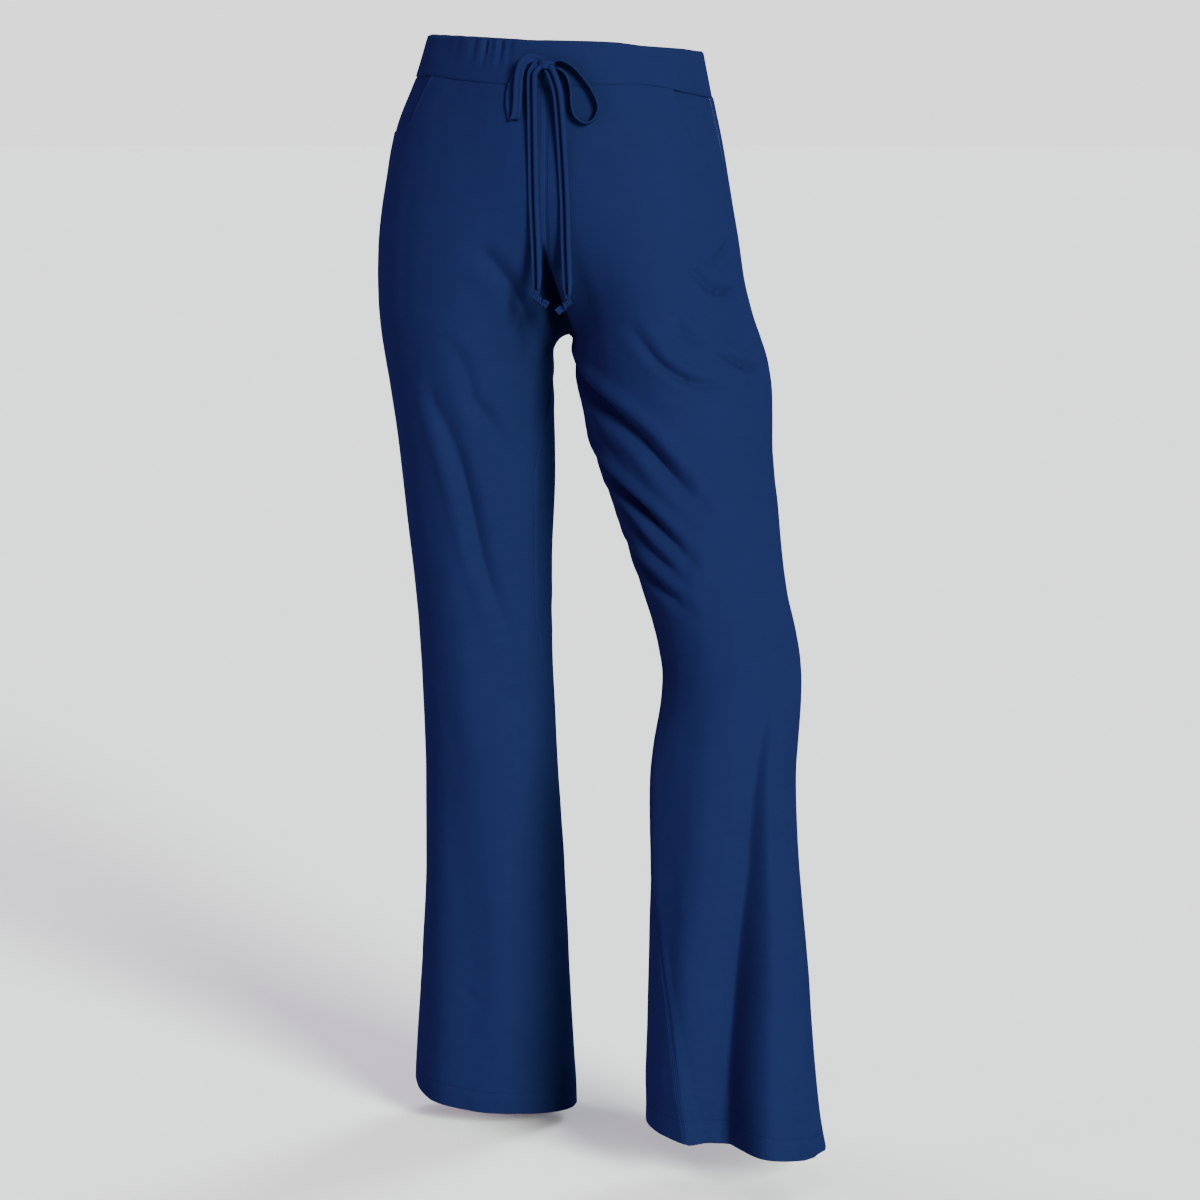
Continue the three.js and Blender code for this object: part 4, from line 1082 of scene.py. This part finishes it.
def cut_pocket(obj, panel, points):
    """Takes the pocket mouth out of a front panel and lays its edge on the line."""
    line = pocket_line()
    even, steps = np.linspace(0, 1, 200), np.linspace(0, 1, len(line))
    fine = np.stack([np.interp(even, steps, line[:, k]) for k in (0, 1)], axis=1)
    places = PocketMap(panel)
    columns = points.shape[1]
    mesh = bmesh.new()
    mesh.from_mesh(obj.data)
    mesh.verts.ensure_lookup_table()
    where = {}
    for vertex in mesh.verts:
        i, j = divmod(vertex.index, columns)
        if i < places.forward.shape[0]:
            where[vertex] = (places.forward[i, j], places.drop[i, j])
    gone = []
    for polygon in mesh.faces:
        spots = [where.get(v) for v in polygon.verts]
        if None in spots:
            continue
        forward = sum(s[0] for s in spots) / len(spots)
        drop = sum(s[1] for s in spots) / len(spots)
        if inside(line, forward, drop):
            gone.append(polygon)
    edge = {v for f in gone for v in f.verts}
    bmesh.ops.delete(mesh, geom=gone, context="FACES")
    left_over = {v for v in edge if v.is_valid and v.link_faces}
    for vertex in left_over:
        forward, drop = where[vertex]
        k = np.argmin(np.hypot(fine[:, 0] - forward, fine[:, 1] - drop))
        i, j = places.place(*fine[k])
        place = grid_value(points, i, j)
        normal = grid_value(panel.normals, i, j)
        proud = MOUTH_PROUD + MOUTH_GAPE * (1 - smooth_step(fine[k, 1], *GAPE_DROPS))
        vertex.co = Vector((place + normal * proud) * MM)
    mesh.to_mesh(obj.data)
    mesh.free()


class TROUSERS_OT_leg_panels(bpy.types.Operator):
    """Cut and hang the four leg panels, with their folds, hems and pocket mouths"""

    bl_idname = "trousers.leg_panels"
    bl_label = "Leg panels"

    def execute(self, context):
        for side, face in PANEL_ORDER:
            leg_piece(side, face, context.scene.trouser_sizes)
        return {"FINISHED"}


def facing_piece(side, sizes):
    """The cloth behind one pocket mouth, following the front panel a little further in."""
    panel = panel_of(side, FRONT)
    places = PocketMap(panel)
    rows = int(places.place(0, POCKET_SIDE + FACING_BELOW)[0])
    columns = int(places.place(POCKET_WIDE + FACING_FORWARD, 30)[1])
    part = (slice(None, rows), slice(columns, None))
    forward, drop = places.forward[part], places.drop[part]
    sink = FACING_SINK * smooth_step(forward, *SINK_FORWARD) * (1 - smooth_step(drop, *SINK_DROPS))
    points = panel.dressed[part] - panel.normals[part] * (FACING_DEEP + sink)[:, :, None]
    uv = np.stack([forward, drop], axis=2)
    obj = grid_piece(f"pocket_cloth_{SIDE_NAMES[side]}", points, panel.sign, uv)
    thicken(obj, sizes.cloth)
    finish_piece(obj, material("band poplin"))
    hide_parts(f"pocket_facing_{SIDE_NAMES[side]}")


class TROUSERS_OT_pocket_facings(bpy.types.Operator):
    """Set the pocket facings behind the pocket mouths"""

    bl_idname = "trousers.pocket_facings"
    bl_label = "Pocket facings"

    def execute(self, context):
        for side in (RIGHT, LEFT):
            facing_piece(side, context.scene.trouser_sizes)
        return {"FINISHED"}


# Waistband

# Waistband: depth, its cells as a share of the panels' cells, how far it stands off the line of the panels,
# and the radius of its rolled top with the turns at which that has points.
BAND_DEEP, BAND_CELLS, BAND_PROUD = 40, 0.75, 0.1
BAND_ROLL, BAND_TURNS = 1.15, (25, 55, 90, 125, 155, 180)

# The band's lower edge, turned in over the seam: how far in and how far down.
BAND_EDGE = ((3.0, 0.5), (1.5, 0.5), (0.4, 0.3))

# Gathers of the front, placed beside the bow: place along the band, depth and half width.
FRONT_GATHERS = (
    (0.335, 3.2, 0.008), (0.354, 2.2, 0.006), (0.380, 3.4, 0.008), (0.300, 1.8, 0.010), (0.405, 1.8, 0.007),
    (0.20, 2.2, 0.040), (0.245, 1.2, 0.012), (0.62, 0.6, 0.010), (0.70, 0.5, 0.012),
)

# Gathers of the back: how many, first place, spacing, depth and half width.
BACK_GATHERS = (19, 0.06, 0.049, 1.5, 0.011)
BAND_CLOTH = {}


def band_line(face, at):
    """Line of the band from the right side seam to the left one."""
    right, left = section(RIGHT, face, at), section(LEFT, face, at)
    line = np.vstack([right[::-1], left[1:]])
    return lifted(line, RIGHT, face, at)


def gathers(face, t, height):
    """Small gathers where the drawstring has drawn the band up, deepest at the top edge."""
    if face == FRONT:
        creases = FRONT_GATHERS
        reach = smooth_step(height, 8, 36)
    else:
        count, first, spacing, deep, width = BACK_GATHERS
        creases = [(first + spacing * k + 0.012 * math.sin(7.1 * k), deep + 0.5 * math.sin(3.3 * k), width)
                   for k in range(count)]
        reach = 0.35 + 0.65 * smooth_step(height, 0, 36)
    return sum(size * reach * np.exp(-((t - place) / width) ** 2) for place, size, width in creases)


def band_piece(face, sizes):
    """One waistband: its lower edge, its gathered outside, its rolled top and its lining side."""
    cell = sizes.cell / MM * BAND_CELLS
    lines = [band_line(face, at) for at in np.linspace(1, 0, round(BAND_DEEP / cell) + 1)]
    count = round(distances(lines[0])[-1] / cell)
    base = np.array([at_distances(line, np.linspace(0, distances(line)[-1], count + 1)) for line in lines])
    normal = outward(base[::-1], face)[::-1]
    height = distances(base[:, count // 2])
    depth = gathers(face, np.linspace(0, 1, count + 1)[None, :], height[:, None])
    outer = base + normal * (BAND_PROUD - depth)[:, :, None]
    BAND_CLOTH[face] = (outer, normal)
    up = base[-1] - base[-2]
    up = up / np.linalg.norm(up, axis=1, keepdims=True)
    down = -(base[1] - base[0]) / np.linalg.norm(base[1] - base[0], axis=1, keepdims=True)
    start = [outer[0] - normal[0] * deep + down * low for deep, low in BAND_EDGE]
    over = []
    for degrees in BAND_TURNS:
        turn = math.radians(degrees)
        over.append(outer[-1] + BAND_ROLL * (normal[-1] * (math.cos(turn) - 1) + up * math.sin(turn)))
    lining = [outer[k] - normal[k] * 2 * BAND_ROLL for k in range(len(outer) - 2, 0, -1)]
    points = np.array(start + list(outer) + over + lining)
    along, down_by = distances(base[0]), distances(points.mean(axis=1))
    uv = np.stack(np.meshgrid(along, down_by), axis=2)
    obj = grid_piece(f"band_{FACE_NAMES[face]}", points, -face, uv)
    thicken(obj, sizes.cloth)
    finish_piece(obj, material("band poplin"))
    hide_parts(f"waistband_{FACE_NAMES[face]}")


class TROUSERS_OT_waistband(bpy.types.Operator):
    """Fold and set on the front and the back waistband"""

    bl_idname = "trousers.waistband"
    bl_label = "Waistband"

    def execute(self, context):
        for face in (FRONT, BACK):
            band_piece(face, context.scene.trouser_sizes)
        return {"FINISHED"}


# Sewing

# Thread: half width and half height of a stitch, share of the pitch that it fills, and how high it lies.
STITCH_WIDE, STITCH_HIGH, STITCH_FILL, STITCH_LIE = 0.26, 0.17, 0.40, 0.10

# Bar tacks: pitch of their close stitches, and width.
TACK_PITCH, TACK_WIDE = 0.42, 2.2


def stitch_form():
    """Points and faces of one stitch, a small spindle of length one along z."""
    bpy.ops.object.select_all(action="DESELECT")
    bpy.ops.mesh.primitive_uv_sphere_add(segments=6, ring_count=4, radius=1)
    obj = bpy.context.active_object
    points = np.array([vertex.co for vertex in obj.data.vertices])
    faces = [list(polygon.vertices) for polygon in obj.data.polygons]
    mesh = obj.data
    bpy.data.objects.remove(obj)
    bpy.data.meshes.remove(mesh)
    return points, faces


def sewn(name, stitches):
    """Copies the one stitch to each place: middle, direction, outward direction and half length."""
    form, faces = stitch_form()
    points, polygons = [], []
    for middle, along, out, half in stitches:
        along = along / np.linalg.norm(along)
        out = out - (out @ along) * along
        out = out / np.linalg.norm(out)
        turned = np.array([np.cross(out, along) * STITCH_WIDE, out * STITCH_HIGH, along * half])
        polygons.extend([[v + len(points) * len(form) for v in face] for face in faces])
        points.append(form @ turned + middle + out * STITCH_LIE)
    mesh = bpy.data.meshes.new(name)
    mesh.from_pydata((np.vstack(points) * MM).tolist(), [], polygons)
    obj = bpy.data.objects.new(name, mesh)
    bpy.context.scene.collection.objects.link(obj)
    select_only(obj)
    bpy.ops.object.shade_smooth()
    finish_piece(obj, material("sewing thread"))
    return obj


def run_of(points, normals, pitch):
    """Stitches along a line of points on the cloth."""
    points, normals = np.array(points), np.array(normals)
    along = distances(points)
    count = max(1, round(along[-1] / pitch))
    middles = (np.arange(count) + 0.5) * along[-1] / count
    ends = np.linspace(0, along[-1], count + 1)
    place = np.stack([np.interp(middles, along, points[:, k]) for k in range(3)], axis=1)
    out = np.stack([np.interp(middles, along, normals[:, k]) for k in range(3)], axis=1)
    corners = np.stack([np.interp(ends, along, points[:, k]) for k in range(3)], axis=1)
    return [(place[k], corners[k + 1] - corners[k], out[k], pitch * STITCH_FILL) for k in range(count)]


def on_panel(panel, places):
    """Points and outward directions at grid places of a dressed panel."""
    normals = outward(panel.dressed, panel.sign)
    points = [grid_value(panel.dressed, i, j) for i, j in places]
    return points, [grid_value(normals, i, j) for i, j in places]


def seam_stitches(panel, from_side, first, last, pitch):
    """Stitches beside the inner seam or the side seam, between two rows of the panel's table."""
    places = []
    for i, row in enumerate(panel.from_inner):
        if first <= panel.rows[i] <= last:
            wanted = row[-1] - SEAM_STITCH if from_side else SEAM_STITCH
            places.append((i, np.interp(wanted, row, np.arange(len(row)))))
    return run_of(*on_panel(panel, places), pitch)


def hem_stitches(panel, hem, pitch):
    """Stitches round the lower end of a panel, through the turned-up allowance."""
    columns = panel.dressed.shape[1]
    down = distances(panel.dressed[:, columns // 2])
    i = np.interp(down[-1] - (hem - HEM_STITCH), down, np.arange(len(down)))
    return run_of(*on_panel(panel, [(i, j) for j in range(columns)]), pitch)


def tack(points, normals):
    """A bar tack: close stitches across a short line."""
    stitches = run_of(points, normals, TACK_PITCH)
    return [(middle, np.cross(along, out), out, TACK_WIDE / 2) for middle, along, out, _ in stitches]


def nearest_place(points, across, height):
    """Row and column of the point nearest to a spot seen from the front."""
    away = np.hypot(points[:, :, 0] - across, points[:, :, 2] - height)
    return np.unravel_index(np.argmin(away), away.shape)


class TROUSERS_OT_topstitching(bpy.types.Operator):
    """Sew the hems, the inseams, the side seams and the seat and fly seam"""

    bl_idname = "trousers.topstitching"
    bl_label = "Topstitching"

    def execute(self, context):
        sizes = context.scene.trouser_sizes
        hem, pitch = sizes.hem / MM, sizes.stitch / MM
        for side in (RIGHT, LEFT):
            front, back = panel_of(side, FRONT), panel_of(side, BACK)
            seams = seam_stitches(front, False, CROTCH + 0.6, HEM, pitch)
            seams += seam_stitches(front, True, BAND_SEAM, HEM, pitch)
            if side == LEFT:
                seams += seam_stitches(front, False, BAND_SEAM, CROTCH - 0.5, pitch)
                seams += seam_stitches(back, False, BAND_SEAM, CROTCH - 0.5, pitch)
            sewn(f"hem_stitches_{SIDE_NAMES[side]}",
                 hem_stitches(front, hem, pitch) + hem_stitches(back, hem, pitch))
            sewn(f"seam_stitches_{SIDE_NAMES[side]}", seams)
        return {"FINISHED"}


class TROUSERS_OT_pocket_stitching(bpy.types.Operator):
    """Sew the pocket mouths with two rows each and close their ends with bar tacks"""

    bl_idname = "trousers.pocket_stitching"
    bl_label = "Pocket stitching"

    def execute(self, context):
        pitch = context.scene.trouser_sizes.stitch / MM
        line = pocket_line()[:-1]
        along = np.gradient(line, axis=0)
        away = np.stack([-along[:, 1], along[:, 0]], axis=1)
        away /= np.linalg.norm(away, axis=1, keepdims=True)
        away *= np.sign(away[0, 0])
        for side in (RIGHT, LEFT):
            panel = panel_of(side, FRONT)
            places = PocketMap(panel)
            stitches = []
            for distance in POCKET_ROWS:
                wanted = [places.place(*spot) for spot in line + away * distance]
                stitches += run_of(*on_panel(panel, wanted), pitch)
            for first, last in POCKET_TACKS:
                wanted = [places.place(*spot) for spot in np.linspace(first, last, 8)]
                stitches += tack(*on_panel(panel, wanted))
            sewn(f"pocket_stitches_{SIDE_NAMES[side]}", stitches)
        return {"FINISHED"}


class TROUSERS_OT_fly_and_eyelets(bpy.types.Operator):
    """Sew the mock fly's bar tack and the two buttonholes that the drawstring comes out of"""

    bl_idname = "trousers.fly_and_eyelets"
    bl_label = "Fly tack and buttonholes"

    def execute(self, context):
        panel = panel_of(RIGHT, FRONT)
        (first_i, first_j), (last_i, last_j) = (nearest_place(panel.dressed, *spot) for spot in FLY_TACK)
        places = list(zip(np.linspace(first_i, last_i, 6), np.linspace(first_j, last_j, 6)))
        sewn("fly_tack", tack(*on_panel(panel, places)))
        outer, normals = BAND_CLOTH[FRONT]
        stitches = []
        for spot in BUTTONHOLES:
            place = nearest_place(outer, *spot)
            middle, out = outer[place], normals[place]
            sideways = np.cross(out, (0, 0, 1))
            sideways /= np.linalg.norm(sideways)
            upright = np.cross(sideways, out)
            for turn in np.linspace(0, 2 * math.pi, HOLE_STITCHES, endpoint=False):
                across, up = sideways * math.cos(turn), upright * math.sin(turn)
                stitches.append((middle + across * HOLE_WIDE + up * HOLE_HIGH, across + up, out, HOLE_STITCH))
        sewn("buttonhole_stitches", stitches)
        return {"FINISHED"}


# Drawstring

# Half of the strap's outline: place across its width and half thickness, as shares of the width.
STRAP_SHAPE = [
    (0.5, 0.0), (0.485, 0.055), (0.42, 0.105), (0.30, 0.125), (0.16, 0.118), (0.07, 0.085), (0.0, 0.070),
]

# The whole outline of a tail, curled forwards: its right edge stands higher than its left one.
CURLED_SHAPE = [
    (0.5, -0.02), (0.48, 0.10), (0.40, 0.20), (0.28, 0.26), (0.16, 0.27), (0.07, 0.22), (0.03, 0.10),
    (0.02, -0.05), (-0.03, -0.14), (-0.14, -0.16), (-0.24, -0.13), (-0.30, -0.02), (-0.35, 0.06),
    (-0.42, 0.08), (-0.48, 0.04), (-0.5, -0.03), (-0.45, -0.12), (-0.30, -0.20), (-0.10, -0.23),
    (0.10, -0.21), (0.30, -0.15), (0.45, -0.08),
]


def strap_ring(width, thick=1.0, curled=False):
    """The strap's outline: its front from edge to edge, then its back."""
    if curled:
        return [(a * width, b * width) for a, b in CURLED_SHAPE]
    half = [(a * width, b * width * thick) for a, b in STRAP_SHAPE]
    top = half + [(-a, b) for a, b in reversed(half[:-1])]
    return top + [(a, -b) for a, b in reversed(top[1:-1])]


def route(rows, step):
    """Even points along a route with the width's direction at each."""
    fine = smooth_rows(rows, np.linspace(0, len(rows) - 1, 30 * len(rows)))
    along = distances(fine[:, :3])
    count = max(8, round(along[-1] / step))
    wanted = np.linspace(0, along[-1], count + 1)
    return np.stack([np.interp(wanted, along, fine[:, k]) for k in range(6)], axis=1)


def strap_frame(line, closed):
    """Middle, direction of the width and direction of the thickness at each point of a route."""
    centre, wide = line[:, :3], line[:, 3:]
    tangent = np.gradient(centre, axis=0)
    if closed:
        tangent[0] = tangent[-1] = centre[1] - centre[-2]
    tangent /= np.linalg.norm(tangent, axis=1, keepdims=True)
    wide = wide - (wide * tangent).sum(axis=1, keepdims=True) * tangent
    wide /= np.linalg.norm(wide, axis=1, keepdims=True)
    return centre, wide, np.cross(tangent, wide)


def swept_strap(name, rows, width, step=2.0, thick=1.0, closed=False, curled=False, shares=EVEN):
    """A folded strap along a route, drawn in or flared by the shares, with the places along it in metres."""
    centre, wide, flat = strap_frame(route(rows, step), closed)
    ring = strap_ring(width, thick, curled)
    along, around = distances(centre), distances(np.array(ring + ring[:1]))
    drawn = np.interp(along / along[-1], *np.array(shares).T)
    last = len(centre) - (1 if closed else 0)
    mesh = bmesh.new()
    layer = mesh.loops.layers.uv.new("cloth")
    rings = []
    for k in range(last):
        across, through = wide[k] * drawn[k], flat[k] * drawn[k] ** SWELL
        rings.append([mesh.verts.new(Vector((centre[k] + across * a + through * b) * MM)) for a, b in ring])
    for k in range(last if closed else last - 1):
        after = rings[(k + 1) % last]
        for m in range(len(ring)):
            n = (m + 1) % len(ring)
            made = mesh.faces.new((rings[k][m], rings[k][n], after[n], after[m]))
            made.smooth = True
            for loop, (u, v) in zip(made.loops, ((m, k), (m + 1, k), (m + 1, k + 1), (m, k + 1))):
                loop[layer].uv = (around[u] * MM, along[v] * MM)
    if not closed:
        mesh.faces.new(rings[0][::-1])
        mesh.faces.new(rings[-1])
    bmesh.ops.recalc_face_normals(mesh, faces=mesh.faces)
    data = bpy.data.meshes.new(name)
    mesh.to_mesh(data)
    mesh.free()
    obj = bpy.data.objects.new(name, data)
    bpy.context.scene.collection.objects.link(obj)
    return obj, centre * MM, along[-1] * MM


def bow_wrap(width):
    """The strap's one turn round the middle of the bow."""
    x, y, z = np.add(KNOT, WRAP_OFF)
    rows = []
    for turn in np.linspace(0, 2 * math.pi, 17):
        across, towards = math.sin(turn), math.cos(turn)
        rows.append((x + WRAP_WIDE * across, y - WRAP_DEEP * towards, z - WRAP_SLANT * across, 0.1, 0, 1))
    obj, _, _ = swept_strap("bow_wrap", rows, width * WRAP_SHARE, step=1.2, closed=True)
    return obj


def overhand(side, width):
    """Overhand knot at the end of a tail: a neck, a turn and a half round the bundle, and a flared tip."""
    (x, y, z), (tip_x, tip_z) = END_KNOTS[side]
    bundle = np.array([tip_x - x, 0, tip_z - z])
    whole = np.linalg.norm(bundle)
    bundle = bundle / whole
    upright = np.array([-bundle[2], 0, bundle[0]])
    if upright[2] < 0:
        upright = -upright
    towards = np.array([0, -1.0, 0])
    start = np.array([x, y, z])
    rows = [(*(start + (0, 0, KNOT_NECK)), 1, 0, 0), (*(start + (0, -1.2, KNOT_NECK * 0.45)), 1, 0, 0)]
    for way in np.linspace(0, 1, KNOT_POINTS):
        turn = math.radians(KNOT_START - way * KNOT_TURN)
        spoke = upright * math.sin(turn) + towards * math.cos(turn)
        spot = start + bundle * KNOT_STEP * (way - 0.45) + spoke * KNOT_ROUND
        rows.append((*spot, *bundle))
    for way, out in KNOT_TIP:
        rows.append((*(start + bundle * whole * way + towards * out), *upright))
    obj, _, _ = swept_strap(
        f"tail_knot_{SIDE_NAMES[side]}", rows, width * KNOT_SHARE, step=0.8, thick=KNOT_THICK,
        shares=KNOT_SHARES)
    return obj


def tied(obj, solid):
    """Finishes a part of the drawstring and puts it in its solid's place."""
    finish_piece(obj, material("drawstring poplin"))
    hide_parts(solid)


class TROUSERS_OT_drawstring(bpy.types.Operator):
    """Tie the drawstring: two tails, two loops, the bow's wrap and the knots at the ends"""

    bl_idname = "trousers.drawstring"
    bl_label = "Drawstring"

    def execute(self, context):
        width = context.scene.trouser_sizes.strap / MM
        tied(bow_wrap(width), "drawstring_knot")
        for side in (RIGHT, LEFT):
            word = SIDE_NAMES[side]
            end = overhand(side, width)
            tied(end, f"drawstring_end_{word}")
            tail, path, _ = swept_strap(
                f"tail_{word}", TAILS[side], width * TAIL_WIDE, curled=True, shares=TAIL_SHARES)
            tied(tail, f"drawstring_tail_{word}")
            loop, path, length = swept_strap(f"loop_{word}", LOOPS[side], width)
            tied(loop, f"drawstring_loop_{word}")
        return {"FINISHED"}


# Stage

# Camera: what it looks at in metres, its turn to the wearer's left and its rise in degrees, how far away it
# is in metres, and its lens and sensor in millimetres.
AIM = (0.0318, 0.0059, -0.5498)
CAMERA_TURN, CAMERA_RISE, CAMERA_AWAY, CAMERA_LENS, CAMERA_SENSOR = 10.5, 7.9, 4.0, 120, 36

# Floor: radius, and how far below the hems it lies, in metres.
FLOOR_RADIUS, FLOOR_GAP = 40, 0.012

# Point that the lamps are turned to, in metres, and each lamp: name, the side that it shines from, strength,
# spread in degrees and colour.
LIT = (0.05, 0.0, -0.5)
LAMPS = (
    ("key", (2.65, -2.95, 0.85), 13.0, 20, (0.84, 1.0, 0.84)),
    ("fill", (-3.0, -2.2, 0.0), 2.2, 30, (1.0, 0.24, 1.0)),
    ("side", (-3.2, 1.6, 0.7), 3.6, 24, (0.92, 0.92, 1.0)),
    ("back", (1.4, 3.1, 0.7), 6.5, 24, (0.90, 0.96, 1.0)),
    ("overhead", (0.0, 0.0, 3.0), 0.8, 24, (1.0, 0.75, 1.0)),
)

# Brightness of the strip at the horizon and of the rest of the room, and the rises between which it fades.
SKY_STRIP, SKY_ROOM, SKY_FADE = 1.76, 0.03, (0.03, 0.08)


def aimed(obj, target):
    """Turns a lamp or a camera to a point."""
    back = obj.location - Vector(target)
    obj.rotation_euler = back.to_track_quat("Z", "Y").to_euler()


def soft_light(name, place, strength, spread, colour):
    """A broad lamp far off in the direction of the place, so that the floor is lit evenly."""
    data = bpy.data.lights.new(name, "SUN")
    data.energy = strength
    data.angle = math.radians(spread)
    data.color = colour
    light = bpy.data.objects.new(name, data)
    light.location = place
    bpy.context.scene.collection.objects.link(light)
    aimed(light, LIT)


def studio_sky(tree):
    """A dim room with a bright strip at the level of the horizon, so that the floor runs on into it."""
    sky = Shader("studio", tree)
    _, _, rise = sky.split(sky.node("TexCoord", {}, {}, "Generated"))
    strength = SKY_STRIP + (SKY_ROOM - SKY_STRIP) * rise.math("ABSOLUTE").fade(*SKY_FADE)
    background = tree.nodes["Background"]
    background.inputs[0].default_value = (1.0, 1.0, 1.0, 1)
    sky.set(background.inputs[1], strength)


class TROUSERS_OT_studio(bpy.types.Operator):
    """Set the camera, the pale floor and the soft lights"""

    bl_idname = "trousers.studio"
    bl_label = "Studio"

    def execute(self, context):
        turn, rise = math.radians(CAMERA_TURN), math.radians(CAMERA_RISE)
        back = Vector((math.sin(turn) * math.cos(rise), -math.cos(turn) * math.cos(rise), math.sin(rise)))
        camera = bpy.data.objects.new("camera", bpy.data.cameras.new("camera"))
        camera.data.lens = CAMERA_LENS
        camera.data.sensor_width = CAMERA_SENSOR
        camera.data.clip_end = 100
        camera.location = Vector(AIM) + back * CAMERA_AWAY
        aimed(camera, AIM)
        context.scene.collection.objects.link(camera)
        context.scene.camera = camera
        bpy.ops.object.select_all(action="DESELECT")
        bpy.ops.mesh.primitive_circle_add(
            vertices=96, radius=FLOOR_RADIUS, fill_type="NGON", location=(0, 0, CAD_BOX[0][2] - FLOOR_GAP))
        floor = context.active_object
        floor.name = "studio_floor"
        bpy.ops.object.transform_apply(location=True, rotation=True, scale=True)
        floor.data.materials.append(material("studio floor"))
        world = context.scene.world or bpy.data.worlds.new("studio")
        context.scene.world = world
        world.use_nodes = True
        studio_sky(world.node_tree)
        for lamp in LAMPS:
            soft_light(*lamp)
        return {"FINISHED"}


class TROUSERS_PT_sewing(bpy.types.Panel):
    """Sizes and colours, and a button for each piece of work"""

    bl_label = "Scrub trousers"
    bl_idname = "TROUSERS_PT_sewing"
    bl_space_type = "VIEW_3D"
    bl_region_type = "UI"
    bl_category = "Trousers"

    def draw(self, context):
        """Lists the sizes, the colours and the operators."""
        layout = self.layout
        for group in (context.scene.trouser_sizes, context.scene.trouser_colours):
            for name in group.__annotations__:
                layout.prop(group, name)
        for operator in OPERATORS:
            layout.operator(operator.bl_idname)


OPERATORS = (
    TROUSERS_OT_studio,
    TROUSERS_OT_drawstring,
    TROUSERS_OT_leg_panels,
    TROUSERS_OT_pocket_facings,
    TROUSERS_OT_waistband,
    TROUSERS_OT_topstitching,
    TROUSERS_OT_pocket_stitching,
    TROUSERS_OT_fly_and_eyelets,
)
CLASSES = (TrouserSizes, TrouserColours, *OPERATORS, TROUSERS_PT_sewing)


def register():
    """Adds the classes and the scene's sizes and colours."""
    for item in CLASSES:
        bpy.utils.register_class(item)
    bpy.types.Scene.trouser_sizes = bpy.props.PointerProperty(type=TrouserSizes)
    bpy.types.Scene.trouser_colours = bpy.props.PointerProperty(type=TrouserColours)


def unregister():
    """Takes away what register adds."""
    del bpy.types.Scene.trouser_colours
    del bpy.types.Scene.trouser_sizes
    for item in reversed(CLASSES):
        bpy.utils.unregister_class(item)


def main():
    """Makes the trousers piece by piece."""
    register()
    bpy.ops.trousers.studio()
    bpy.ops.trousers.drawstring()
    bpy.ops.trousers.leg_panels()
    bpy.ops.trousers.pocket_facings()
    bpy.ops.trousers.waistband()
    bpy.ops.trousers.topstitching()
    bpy.ops.trousers.pocket_stitching()
    bpy.ops.trousers.fly_and_eyelets()


if __name__ == "__main__":
    main()
